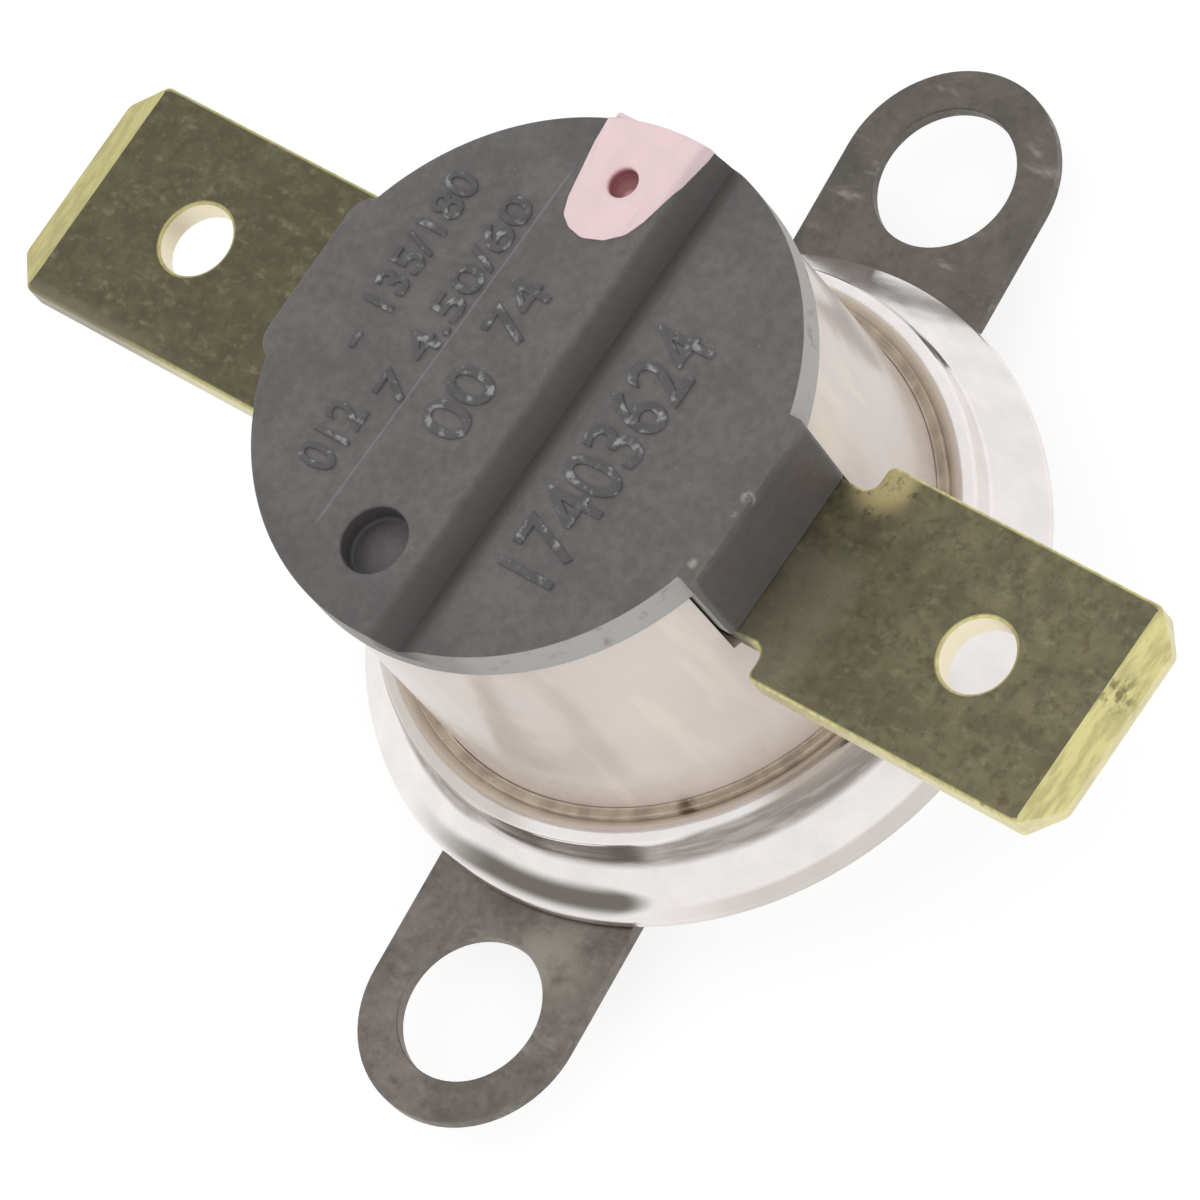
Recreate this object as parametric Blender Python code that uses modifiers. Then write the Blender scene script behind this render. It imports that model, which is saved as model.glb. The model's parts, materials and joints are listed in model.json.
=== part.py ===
"""Snap-disc oven thermostat with two blade terminals and a loose two-ear bracket.

Metres, +Z up. The origin is the centre of the flat sensing face, and the blades lie along X.
Each piece is a named object. What touches another piece keeps the clearance FIT to it.
"""

import math

import bmesh
import bpy
from mathutils import Vector

MM = 0.001
FIT = 0.05 * MM

# Ceramic body
BODY_WALL = 1.3 * MM
BODY_NECK_HEIGHT = 8.25 * MM
BODY_FLOOR = 1.5 * MM
BODY_EDGE = 0.12 * MM
FOOT_STEP = 0.4 * MM
FOOT_HEIGHT = 1.45 * MM
FOOT_WALL = 1.4 * MM
FOOT_CLEARANCE = 0.15 * MM
RECESS_HEIGHT = 2.4 * MM
SLOT_DEPTH = 2.85 * MM

# Aluminium sensing cup
CUP_WALL = 0.4 * MM
CUP_FLOOR = 0.4 * MM
CUP_FOOT_ROUND = 0.45 * MM
SEAT_WIDTH = 1.35 * MM
SEAT_HEIGHT = 0.4 * MM
CRIMP_HEIGHT = 0.62 * MM
CRIMP_LIP = 0.42 * MM
CRIMP_CROWN = 0.3 * MM
CRIMP_BEAD = 0.5 * MM
FLANGE_OVERHANG = 1.1 * MM
FLANGE_RISE = 1.35 * MM
FLANGE_EDGE = 0.34 * MM
RETAINING_BEAD = 0.24 * MM
RETAINING_BEAD_HEIGHT = 0.6 * MM

# Bimetal disc
DISC_THICKNESS = 0.2 * MM
DISC_DISH = 0.2 * MM
DISC_SIDE_CLEARANCE = 0.2 * MM

# Push rod
ROD_RADIUS = 0.9 * MM
ROD_DOME = 0.4 * MM
ROD_HOLE_CLEARANCE = 0.2 * MM

# Pin guide
GUIDE_LIP_HEIGHT = 0.45 * MM
GUIDE_LIP_WIDTH = 0.9 * MM
GUIDE_PLATE = 0.7 * MM
GUIDE_SIDE_CLEARANCE = 0.12 * MM
GUIDE_BOSS_WALL = 1.25 * MM
GUIDE_BOSS_HEIGHT = 1.9 * MM

# Sealing ring in the crimped joint
SEAL_PROUD = 0.06 * MM

# Moulded cover
COVER_OVERHANG = 0.1 * MM
COVER_THICKNESS = 1.05 * MM
COVER_EDGE = 0.12 * MM
SPIGOT_DEPTH = 0.8 * MM
SPIGOT_WALL = 0.7 * MM
SPIGOT_CLEARANCE = 0.1 * MM
TONGUE_WIDTH = 4.8 * MM
TONGUE_THICKNESS = 1.3 * MM
TONGUE_PROUD = 0.12 * MM
TONGUE_SETBACK = 0.08 * MM
TONGUE_SIDE_CLEARANCE = 0.08 * MM
GROOVE_LEFT = 0.4 * MM
GROOVE_DEEPEST = 1.5 * MM
GROOVE_RIGHT = 2.05 * MM
GROOVE_DEPTH = 0.42 * MM
LINE_X = -1.95 * MM
LINE_WIDTH = 0.16 * MM
LINE_DEPTH = 0.06 * MM
RECESS_X = -1.02 * MM
LARGE_RECESS_RADIUS = 0.88 * MM
LARGE_RECESS_INSET = 2.13 * MM
LARGE_RECESS_DEPTH = 0.8 * MM
SMALL_RECESS_RADIUS = 0.44 * MM
SMALL_RECESS_INSET = 1.7 * MM
SMALL_RECESS_DEPTH = 0.4 * MM
KEY_LEFT = -2.5 * MM
KEY_RIGHT = 0.6 * MM
KEY_SETBACK = 0.02 * MM

# Blade terminals
TERMINAL_THICKNESS = 0.8 * MM
TAB_WIDTH = 6.2 * MM
TAB_REACH = 10.15 * MM
TAB_BEVEL = 0.85 * MM
TAB_TIP_THICKNESS = 0.34 * MM
TAB_CORNER = 0.85 * MM
TAB_STANDOFF = 0.85 * MM
TAB_SHOULDER_ROUND = 0.35 * MM
TAB_HOLE_SETBACK = 4.28 * MM
TAB_HOLE_RADIUS = 0.98 * MM
TAB_EDGE = 0.07 * MM
NECK_SIDE_CLEARANCE = 0.1 * MM

# Rivets
RIVET_WALL_GAP = 0.1 * MM
RIVET_RADIUS = 0.9 * MM
RIVET_WALL = 0.35 * MM
RIVET_HEAD = 0.3 * MM
RIVET_HEAD_OVERHANG = 0.3 * MM
RIVET_CLINCH = 0.25 * MM
RIVET_CLINCH_OVERHANG = 0.25 * MM
WASHER_OVERHANG = 0.4 * MM
WASHER_THICKNESS = 0.25 * MM

# Contacts
ROD_CONTACT_GAP = 0.4 * MM
CONTACT_RIVET_GAP = 0.2 * MM
FIXED_CONTACT_RADIUS = 0.85 * MM
FIXED_CONTACT_HEIGHT = 0.38 * MM
FIXED_CONTACT_MARGIN = 0.1 * MM
MOVING_CONTACT_RADIUS = 0.8 * MM
MOVING_CONTACT_HEIGHT = 0.3 * MM
CONTACT_SHANK_RADIUS = 0.4 * MM
CONTACT_TAIL_RADIUS = 0.6 * MM
CONTACT_TAIL = 0.2 * MM

# Contact spring and the plate that clamps its root
SPRING_THICKNESS = 0.16 * MM
SPRING_ROOT_WIDTH = 3.6 * MM
SPRING_ARM_WIDTH = 2.3 * MM
SPRING_ROOT_OVERHANG = 1.1 * MM
SPRING_TIP_MARGIN = 1.1 * MM
SPRING_BEND_LENGTH = 0.9 * MM
CLAMP_THICKNESS = 0.3 * MM
CLAMP_LENGTH = 2.5 * MM
CLAMP_WIDTH = 3.3 * MM
CLAMP_BEND_GAP = 0.15 * MM

# Loose bracket
BRACKET_THICKNESS = 0.4 * MM
BRACKET_PLAY = 0.06 * MM
BRACKET_BORE_CLEARANCE = 0.14 * MM
BRACKET_RING_WIDTH = 0.61 * MM
BRACKET_EDGE = 0.05 * MM
BRACKET_ANGLE = math.radians(95.8)
EAR_REACH = 3.3 * MM
EAR_HOLE_RADIUS = 1.92 * MM
EAR_RIM = 1.08 * MM

# Facets
FINE_STEPS = 48
INNER_STEPS = 32
HOLE_STEPS = 28
SMALL_STEPS = 16
FILLET_STEP = math.radians(46)

# Distances along the blades, from the rod outwards
RIVET_HEAD_RADIUS = RIVET_RADIUS + RIVET_HEAD_OVERHANG
CONTACT_X = ROD_RADIUS + ROD_CONTACT_GAP + FIXED_CONTACT_RADIUS
RIVET_X = CONTACT_X + FIXED_CONTACT_RADIUS + CONTACT_RIVET_GAP + RIVET_HEAD_RADIUS
SPRING_BEND_X = RIVET_X - CLAMP_LENGTH / 2 - CLAMP_BEND_GAP
FIXED_INNER_END = CONTACT_X - FIXED_CONTACT_RADIUS - FIXED_CONTACT_MARGIN
MOVING_INNER_END = SPRING_BEND_X - SPRING_BEND_LENGTH / 2

# Radii, from the cavity outwards
CAVITY_RADIUS = RIVET_X + RIVET_HEAD_RADIUS + RIVET_WALL_GAP
BODY_RADIUS = CAVITY_RADIUS + BODY_WALL
FOOT_RADIUS = BODY_RADIUS + FOOT_STEP
RECESS_RADIUS = FOOT_RADIUS - FOOT_WALL
CUP_BORE = FOOT_RADIUS + FOOT_CLEARANCE
CUP_RADIUS = CUP_BORE + CUP_WALL
FLANGE_RADIUS = CUP_RADIUS + FLANGE_OVERHANG
SEAL_OUTER = BODY_RADIUS + CRIMP_LIP / 2
COVER_RADIUS = BODY_RADIUS + COVER_OVERHANG
TONGUE_FACE = COVER_RADIUS + TONGUE_PROUD
BRACKET_BORE = CUP_RADIUS + BRACKET_BORE_CLEARANCE
BRACKET_RING_RADIUS = BRACKET_BORE + BRACKET_RING_WIDTH

# What reaches out from the body
TAB_END = BODY_RADIUS + TAB_REACH
TAB_SHOULDER = BODY_RADIUS + TAB_STANDOFF
TAB_HOLE_X = TAB_END - TAB_HOLE_SETBACK
EAR_X = BRACKET_RING_RADIUS + EAR_REACH

# Widths that follow from the tongues
SLOT_WIDTH = TONGUE_WIDTH + 2 * TONGUE_SIDE_CLEARANCE
NECK_WIDTH = TONGUE_WIDTH - 2 * NECK_SIDE_CLEARANCE

# Heights that follow from the stack of pieces
SEAT_Z = CUP_FLOOR + SEAT_HEIGHT
DISC_RIM_Z = SEAT_Z + FIT
GUIDE_Z = DISC_RIM_Z + DISC_THICKNESS + FIT
GUIDE_TOP = GUIDE_Z + GUIDE_LIP_HEIGHT + GUIDE_PLATE
BODY_Z = GUIDE_TOP + FIT
FOOT_TOP = BODY_Z + FOOT_HEIGHT
BODY_TOP = FOOT_TOP + BODY_NECK_HEIGHT
RECESS_TOP = BODY_Z + RECESS_HEIGHT
CAVITY_FLOOR = RECESS_TOP + BODY_FLOOR
SLOT_FLOOR = BODY_TOP - SLOT_DEPTH
CRIMP_UNDER = FOOT_TOP + FIT
CRIMP_TOP = CRIMP_UNDER + CRIMP_HEIGHT
VALLEY_Z = FOOT_TOP - CRIMP_BEAD
FLANGE_Z = VALLEY_Z - FLANGE_RISE
BRACKET_Z = FLANGE_Z - BRACKET_PLAY - BRACKET_THICKNESS
TERMINAL_Z = SLOT_FLOOR + FIT
TERMINAL_TOP = TERMINAL_Z + TERMINAL_THICKNESS
FIXED_CONTACT_TOP = TERMINAL_TOP + FIT + FIXED_CONTACT_HEIGHT
SPRING_ROOT_Z = TERMINAL_TOP + FIT
SPRING_ARM_Z = FIXED_CONTACT_TOP + FIT + MOVING_CONTACT_HEIGHT + FIT
CLAMP_Z = SPRING_ROOT_Z + SPRING_THICKNESS + FIT
ROD_Z = DISC_RIM_Z + DISC_THICKNESS - DISC_DISH + FIT
COVER_Z = BODY_TOP + FIT
COVER_TOP = COVER_Z + COVER_THICKNESS


def clear_scene():
    for obj in list(bpy.data.objects):
        bpy.data.objects.remove(obj)


def collection(name):
    group = bpy.data.collections.new(name)
    bpy.context.scene.collection.children.link(group)
    return group


def finish(name, colour, roughness, metallic):
    """A plain Principled material."""
    material = bpy.data.materials.new(name)
    material.use_nodes = True
    shader = material.node_tree.nodes["Principled BSDF"]
    shader.inputs["Base Color"].default_value = (*colour, 1)
    shader.inputs["Roughness"].default_value = roughness
    shader.inputs["Metallic"].default_value = metallic
    material.diffuse_color = (*colour, 1)
    return material


def add_object(name, mesh, group, material=None, z=0.0):
    obj = bpy.data.objects.new(name, mesh)
    obj.location.z = z
    group.objects.link(obj)
    if material:
        obj.data.materials.append(material)
    return obj


def as_cutter(obj):
    obj.hide_render = True
    obj.display_type = "WIRE"
    return obj


def arc(centre, radius, start, end, segments):
    """Points on an arc from one angle to another, both ends included."""
    points = []
    for i in range(segments + 1):
        angle = start + (end - start) * i / segments
        points.append((centre[0] + radius * math.cos(angle), centre[1] + radius * math.sin(angle)))
    return points


def fillet(before, corner, after, radius):
    """Points that round one corner, limited by the two edges that meet there."""
    corner = Vector(corner)
    to_before = Vector(before) - corner
    to_after = Vector(after) - corner
    half = to_before.angle(to_after) / 2
    if radius <= 0 or half < 0.05 or half > math.pi / 2 - 0.05:
        return [tuple(corner)]
    setback = min(radius / math.tan(half), 0.48 * to_before.length, 0.48 * to_after.length)
    radius = setback * math.tan(half)
    inwards = (to_before.normalized() + to_after.normalized()).normalized()
    centre = corner + inwards * (radius / math.sin(half))
    first = corner + to_before.normalized() * setback - centre
    last = corner + to_after.normalized() * setback - centre
    start = math.atan2(first.y, first.x)
    turn = math.atan2(last.y, last.x) - start
    turn = (turn + math.pi) % (2 * math.pi) - math.pi
    segments = max(1, math.ceil(abs(turn) / FILLET_STEP))
    return arc(centre, radius, start, start + turn, segments)


def rounded(corners, closed):
    """An outline from (across, up, radius) corners."""
    points = []
    last = len(corners) - 1
    for i, (across, up, radius) in enumerate(corners):
        if not closed and i in (0, last):
            points.append((across, up))
            continue
        before = corners[i - 1][:2]
        after = corners[(i + 1) % len(corners)][:2]
        points += fillet(before, (across, up), after, radius)
    return points


def turned(name, corners, group, material=None, z=0.0, steps=FINE_STEPS, closed=False):
    """A body of revolution about Z. The profile runs down its outer side."""
    points = rounded(corners, closed)
    mesh = bpy.data.meshes.new(name)
    edges = [(i, i + 1) for i in range(len(points) - 1)]
    if closed:
        edges.append((len(points) - 1, 0))
    mesh.from_pydata([(across, 0, up) for across, up in points], edges, [])
    obj = add_object(name, mesh, group, material, z)
    screw = obj.modifiers.new("turn", "SCREW")
    screw.steps = steps
    screw.render_steps = steps
    screw.use_merge_vertices = True
    screw.merge_threshold = 1e-7
    screw.use_smooth_shade = True
    return obj


def box(name, low, high, group, material=None):
    mesh = bpy.data.meshes.new(name)
    bm = bmesh.new()
    bmesh.ops.create_cube(bm, size=1)
    low = Vector(low)
    high = Vector(high)
    bmesh.ops.scale(bm, vec=high - low, verts=bm.verts)
    bmesh.ops.translate(bm, vec=(low + high) / 2, verts=bm.verts)
    bm.to_mesh(mesh)
    bm.free()
    return add_object(name, mesh, group, material)


def cylinder(name, centre, radius, low, high, group, steps=SMALL_STEPS):
    mesh = bpy.data.meshes.new(name)
    bm = bmesh.new()
    size = {"radius1": radius, "radius2": radius, "depth": high - low}
    bmesh.ops.create_cone(bm, cap_ends=True, segments=steps, **size)
    bmesh.ops.translate(bm, vec=(*centre, (low + high) / 2), verts=bm.verts)
    bm.to_mesh(mesh)
    bm.free()
    return add_object(name, mesh, group)


def prism(name, outlines, half_length, group, material=None, upright=False):
    """A flat outline, with any holes, given a thickness. Upright prisms have their outline in XZ."""
    curve = bpy.data.curves.new(name, "CURVE")
    curve.dimensions = "2D"
    curve.fill_mode = "BOTH"
    curve.extrude = half_length
    for outline in outlines:
        spline = curve.splines.new("POLY")
        spline.points.add(len(outline) - 1)
        for point, (across, up) in zip(spline.points, outline):
            point.co = (across, up, 0, 1)
        spline.use_cyclic_u = True
    source = bpy.data.objects.new(name + "_outline", curve)
    group.objects.link(source)
    bpy.context.view_layer.update()
    evaluated = source.evaluated_get(bpy.context.evaluated_depsgraph_get())
    mesh = bpy.data.meshes.new_from_object(evaluated)
    bpy.data.objects.remove(source)
    bm = bmesh.new()
    bm.from_mesh(mesh)
    bmesh.ops.remove_doubles(bm, verts=bm.verts, dist=1e-6)
    if upright:
        for vert in bm.verts:
            vert.co = (vert.co.x, -vert.co.z, vert.co.y)
    bmesh.ops.recalc_face_normals(bm, faces=bm.faces)
    bm.to_mesh(mesh)
    bm.free()
    mesh.name = name
    return add_object(name, mesh, group, material)


def combine(obj, other, operation):
    modifier = obj.modifiers.new(other.name, "BOOLEAN")
    modifier.operation = operation
    modifier.object = other
    modifier.solver = "EXACT"
    as_cutter(other)


def soften(obj, width):
    bevel = obj.modifiers.new("edge", "BEVEL")
    bevel.width = width
    bevel.segments = 1
    bevel.limit_method = "ANGLE"
    bevel.angle_limit = math.radians(50)
    bevel.harden_normals = True


def pivot(name, group, location, turn=0.0):
    """An empty on a joint's axis."""
    empty = bpy.data.objects.new(name, None)
    empty.location = location
    empty.rotation_euler.z = turn
    empty.empty_display_size = 2 * MM
    group.objects.link(empty)
    return empty


def hang_on(obj, parent):
    """Parents an object and keeps it where it stands."""
    bpy.context.view_layer.update()
    place = obj.matrix_world.copy()
    obj.parent = parent
    obj.matrix_parent_inverse = parent.matrix_world.inverted()
    obj.matrix_world = place


def circle(centre, radius, steps=SMALL_STEPS):
    return arc(centre, radius, 0, 2 * math.pi * (steps - 1) / steps, steps - 1)


def sensing_cup(parts, material):
    """Drawn cup: flat sensing face, rolled bead, folded flange, and a rim crimped over the foot."""
    bead_high = BRACKET_Z - BRACKET_PLAY
    bead_low = bead_high - RETAINING_BEAD_HEIGHT
    bead_z = (bead_low + bead_high) / 2
    lip_radius = BODY_RADIUS + CRIMP_LIP / 2 + FIT
    crown_radius = (lip_radius + CUP_RADIUS) / 2
    slope_run = FLANGE_RADIUS - CUP_RADIUS
    slope_fall = FLANGE_RISE - FLANGE_EDGE
    slope = math.hypot(slope_run, slope_fall)
    fold_inner_z = FLANGE_Z + CUP_WALL
    wall_drop = CUP_WALL * slope / slope_run
    fold_start = VALLEY_Z - wall_drop + CUP_WALL * slope_fall / slope_run
    fold_reach = CUP_BORE + (fold_start - fold_inner_z) * slope_run / slope_fall
    corners = [
        (0, CUP_FLOOR, 0),
        (CUP_BORE - SEAT_WIDTH, CUP_FLOOR, 0.15 * MM),
        (CUP_BORE - SEAT_WIDTH, SEAT_Z, 0),
        (CUP_BORE, SEAT_Z, 0),
        (CUP_BORE, fold_inner_z, 0),
        (fold_reach, fold_inner_z, 0),
        (CUP_BORE, fold_start, 0),
        (CUP_BORE, CRIMP_UNDER, 0),
        (lip_radius, CRIMP_UNDER, 0),
        (lip_radius, CRIMP_TOP - CRIMP_CROWN, 0.08 * MM),
        (crown_radius, CRIMP_TOP, 0.5 * MM),
        (CUP_RADIUS, CRIMP_TOP - CRIMP_CROWN / 2, 0.45 * MM),
        (CUP_RADIUS, VALLEY_Z, 0.3 * MM),
        (FLANGE_RADIUS, FLANGE_Z + FLANGE_EDGE, 0.25 * MM),
        (FLANGE_RADIUS, FLANGE_Z, 0.12 * MM),
        (CUP_RADIUS, FLANGE_Z, 0.06 * MM),
        (CUP_RADIUS, bead_high, 0),
        (CUP_RADIUS + RETAINING_BEAD, bead_z, 0.15 * MM),
        (CUP_RADIUS, bead_low, 0),
        (CUP_RADIUS, 0, CUP_FOOT_ROUND),
        (0, 0, 0),
    ]
    return turned("sensing_cup", corners, parts, material)


def bimetal_disc(parts, material):
    """A shallow dish, its crown down while cold."""
    rim = CUP_BORE - DISC_SIDE_CLEARANCE
    rings = 4
    upper = []
    for i in range(rings + 1):
        share = i / rings
        upper.append((rim * share, DISC_THICKNESS - DISC_DISH * (1 - share * share), 0))
    lower = [(across, up - DISC_THICKNESS, 0) for across, up, _ in reversed(upper)]
    return turned("bimetal_disc", upper + lower, parts, material, DISC_RIM_Z, steps=INNER_STEPS)


def pin_guide(parts, material):
    outer = CUP_BORE - GUIDE_SIDE_CLEARANCE
    bore = ROD_RADIUS + FIT
    plate_low = GUIDE_LIP_HEIGHT
    plate_high = GUIDE_LIP_HEIGHT + GUIDE_PLATE
    corners = [
        (bore, plate_high + GUIDE_BOSS_HEIGHT, 0),
        (bore + GUIDE_BOSS_WALL, plate_high + GUIDE_BOSS_HEIGHT, 0.15 * MM),
        (bore + GUIDE_BOSS_WALL, plate_high, 0.2 * MM),
        (outer, plate_high, 0.1 * MM),
        (outer, 0, 0),
        (outer - GUIDE_LIP_WIDTH, 0, 0),
        (outer - GUIDE_LIP_WIDTH, plate_low, 0),
        (bore, plate_low, 0),
    ]
    return turned("pin_guide", corners, parts, material, GUIDE_Z, steps=INNER_STEPS, closed=True)


def push_rod(parts, material):
    """Its origin is on its own axis, where it meets the disc."""
    height = SPRING_ARM_Z - FIT - ROD_Z
    corners = [(0, height, 0)]
    for share in (0.35, 0.65, 0.88):
        corners.append((ROD_RADIUS * share, height - ROD_DOME * share * share, 0))
    corners.append((ROD_RADIUS, height - ROD_DOME, 0))
    for share in (1, 0.88, 0.65, 0.35):
        corners.append((ROD_RADIUS * share, ROD_DOME * share * share, 0))
    corners.append((0, 0, 0))
    return turned("push_rod", corners, parts, material, ROD_Z, steps=SMALL_STEPS)


def base_body(parts, cutters, material):
    """Ceramic cup with a foot, an underside recess, a ledge for each terminal and a slot for each neck."""
    rod_hole = ROD_RADIUS + ROD_HOLE_CLEARANCE
    corners = [
        (CAVITY_RADIUS, BODY_TOP, 0.1 * MM),
        (BODY_RADIUS, BODY_TOP, BODY_EDGE),
        (BODY_RADIUS, FOOT_TOP, 0),
        (FOOT_RADIUS, FOOT_TOP, BODY_EDGE),
        (FOOT_RADIUS, BODY_Z, BODY_EDGE),
        (RECESS_RADIUS, BODY_Z, 0),
        (RECESS_RADIUS, RECESS_TOP, 0.15 * MM),
        (rod_hole, RECESS_TOP, 0),
        (rod_hole, CAVITY_FLOOR, 0),
        (CAVITY_RADIUS, CAVITY_FLOOR, 0.15 * MM),
    ]
    body = turned("base_body", corners, parts, material, closed=True)
    mid_wall = (CAVITY_RADIUS + BODY_RADIUS) / 2
    half_neck = NECK_WIDTH / 2
    ledge_end = math.sqrt(mid_wall**2 - half_neck**2)
    sunk = BODY_FLOOR / 4
    for side, word in ((1, "fixed"), (-1, "moving")):
        ends = sorted((side * SPRING_BEND_X, side * ledge_end))
        low = (ends[0], -half_neck, CAVITY_FLOOR - sunk)
        high = (ends[1], half_neck, SLOT_FLOOR)
        combine(body, box(word + "_ledge", low, high, cutters), "UNION")
    reach = 2 * BODY_RADIUS
    above = BODY_TOP + SLOT_DEPTH
    low = (-reach, -SLOT_WIDTH / 2, SLOT_FLOOR)
    slot = box("terminal_slots", low, (reach, SLOT_WIDTH / 2, above), cutters)
    combine(body, slot, "DIFFERENCE")
    for side, word in ((1, "fixed"), (-1, "moving")):
        name = word + "_rivet_bore"
        bore = cylinder(name, (side * RIVET_X, 0), RIVET_RADIUS + FIT, BODY_Z, BODY_TOP, cutters)
        combine(body, bore, "DIFFERENCE")
    return body


def seam_seal(parts, material):
    corners = [
        (BODY_RADIUS + FIT, CRIMP_TOP - CRIMP_CROWN + SEAL_PROUD, 0),
        (SEAL_OUTER - FIT, CRIMP_TOP - CRIMP_CROWN, 0),
        (SEAL_OUTER - FIT, CRIMP_UNDER, 0),
        (BODY_RADIUS + FIT, CRIMP_UNDER, 0),
    ]
    return turned("seam_seal", corners, parts, material, closed=True)


def blade_outline(inner_end):
    """The terminal seen from above, with its tip towards +X."""
    half_neck = NECK_WIDTH / 2
    half_tab = TAB_WIDTH / 2
    corners = [
        (inner_end, -half_neck, 0.3 * MM),
        (TAB_SHOULDER, -half_neck, TAB_SHOULDER_ROUND),
        (TAB_SHOULDER, -half_tab, 0.15 * MM),
        (TAB_END - TAB_CORNER, -half_tab, 0),
        (TAB_END, -half_tab + TAB_CORNER, 0),
        (TAB_END, half_tab - TAB_CORNER, 0),
        (TAB_END - TAB_CORNER, half_tab, 0),
        (TAB_SHOULDER, half_tab, 0.15 * MM),
        (TAB_SHOULDER, half_neck, TAB_SHOULDER_ROUND),
        (inner_end, half_neck, 0.3 * MM),
    ]
    return rounded(corners, closed=True)


def blade_side(inner_end):
    """The terminal seen from its side, with both faces bevelled at the tip."""
    start = inner_end - TERMINAL_THICKNESS
    middle = (TERMINAL_Z + TERMINAL_TOP) / 2
    return [
        (start, TERMINAL_Z),
        (TAB_END - TAB_BEVEL, TERMINAL_Z),
        (TAB_END, middle - TAB_TIP_THICKNESS / 2),
        (TAB_END, middle + TAB_TIP_THICKNESS / 2),
        (TAB_END - TAB_BEVEL, TERMINAL_TOP),
        (start, TERMINAL_TOP),
    ]


def mirrored(outline, side):
    return [(side * across, up) for across, up in outline]


def terminal(name, side, inner_end, holes, parts, cutters, material):
    """A stamped blade: its side view cut to its outline and holes."""
    blade = prism(name, [mirrored(blade_side(inner_end), side)], TAB_WIDTH, parts, material, upright=True)
    loops = [mirrored(blade_outline(inner_end), side)]
    for across, radius in holes:
        loops.append(circle((side * across, 0), radius, HOLE_STEPS))
    stamping = prism(name + "_stamping", loops, BODY_TOP, cutters)
    stamping.location.z = TERMINAL_Z
    combine(blade, stamping, "INTERSECT")
    soften(blade, TAB_EDGE)
    return blade


def terminals(parts, cutters, material):
    rivet_hole = (RIVET_X, RIVET_RADIUS + FIT)
    tab_hole = (TAB_HOLE_X, TAB_HOLE_RADIUS)
    contact_hole = (CONTACT_X, CONTACT_SHANK_RADIUS + FIT)
    fixed_holes = [rivet_hole, tab_hole, contact_hole]
    terminal("fixed_terminal", 1, FIXED_INNER_END, fixed_holes, parts, cutters, material)
    terminal("moving_terminal", -1, MOVING_INNER_END, [rivet_hole, tab_hole], parts, cutters, material)


def contact_spring(parts, cutters, material):
    """A stepped leaf: flat root on the terminal, a short rise, and a flat arm over the fixed contact."""
    root_end = -(RIVET_X + SPRING_ROOT_OVERHANG)
    bend_start = -SPRING_BEND_X
    bend_end = bend_start + SPRING_BEND_LENGTH
    tip = CONTACT_X + SPRING_TIP_MARGIN
    half = SPRING_THICKNESS / 2
    beyond = MM
    middle_line = [
        (root_end - beyond, SPRING_ROOT_Z + half, 0),
        (bend_start, SPRING_ROOT_Z + half, 0.4 * MM),
        (bend_end, SPRING_ARM_Z + half, 0.4 * MM),
        (tip + beyond, SPRING_ARM_Z + half, 0),
    ]
    line = rounded(middle_line, closed=False)
    mesh = bpy.data.meshes.new("contact_spring")
    bm = bmesh.new()
    for side in (-1, 1):
        row = [bm.verts.new((across, side * SPRING_ROOT_WIDTH, up)) for across, up in line]
        for first, second in zip(row, row[1:]):
            bm.edges.new((first, second))
    bmesh.ops.bridge_loops(bm, edges=bm.edges)
    bmesh.ops.recalc_face_normals(bm, faces=bm.faces)
    bm.to_mesh(mesh)
    bm.free()
    leaf = add_object("contact_spring", mesh, parts, material)
    thickness = leaf.modifiers.new("sheet", "SOLIDIFY")
    thickness.thickness = SPRING_THICKNESS
    thickness.offset = 0
    thickness.use_even_offset = True
    half_root = SPRING_ROOT_WIDTH / 2
    half_arm = SPRING_ARM_WIDTH / 2
    corners = [
        (root_end, -half_root, 0.3 * MM),
        (bend_start, -half_root, 0.5 * MM),
        (bend_end, -half_arm, 0.5 * MM),
        (tip, -half_arm, 0.9 * MM),
        (tip, half_arm, 0.9 * MM),
        (bend_end, half_arm, 0.5 * MM),
        (bend_start, half_root, 0.5 * MM),
        (root_end, half_root, 0.3 * MM),
    ]
    loops = [rounded(corners, closed=True)]
    for across, radius in ((-RIVET_X, RIVET_RADIUS), (CONTACT_X, CONTACT_SHANK_RADIUS)):
        loops.append(circle((across, 0), radius + FIT))
    stamping = prism("spring_stamping", loops, BODY_TOP, cutters)
    stamping.location.z = TERMINAL_TOP
    combine(leaf, stamping, "INTERSECT")
    return leaf


def spring_clamp(parts, material):
    half_length = CLAMP_LENGTH / 2
    half_width = CLAMP_WIDTH / 2
    corners = [
        (-RIVET_X - half_length, -half_width, 0.3 * MM),
        (-RIVET_X + half_length, -half_width, 0.3 * MM),
        (-RIVET_X + half_length, half_width, 0.3 * MM),
        (-RIVET_X - half_length, half_width, 0.3 * MM),
    ]
    loops = [rounded(corners, closed=True), circle((-RIVET_X, 0), RIVET_RADIUS + FIT)]
    clamp = prism("spring_clamp", loops, CLAMP_THICKNESS / 2, parts, material)
    clamp.location.z = CLAMP_Z + CLAMP_THICKNESS / 2
    return clamp


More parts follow.
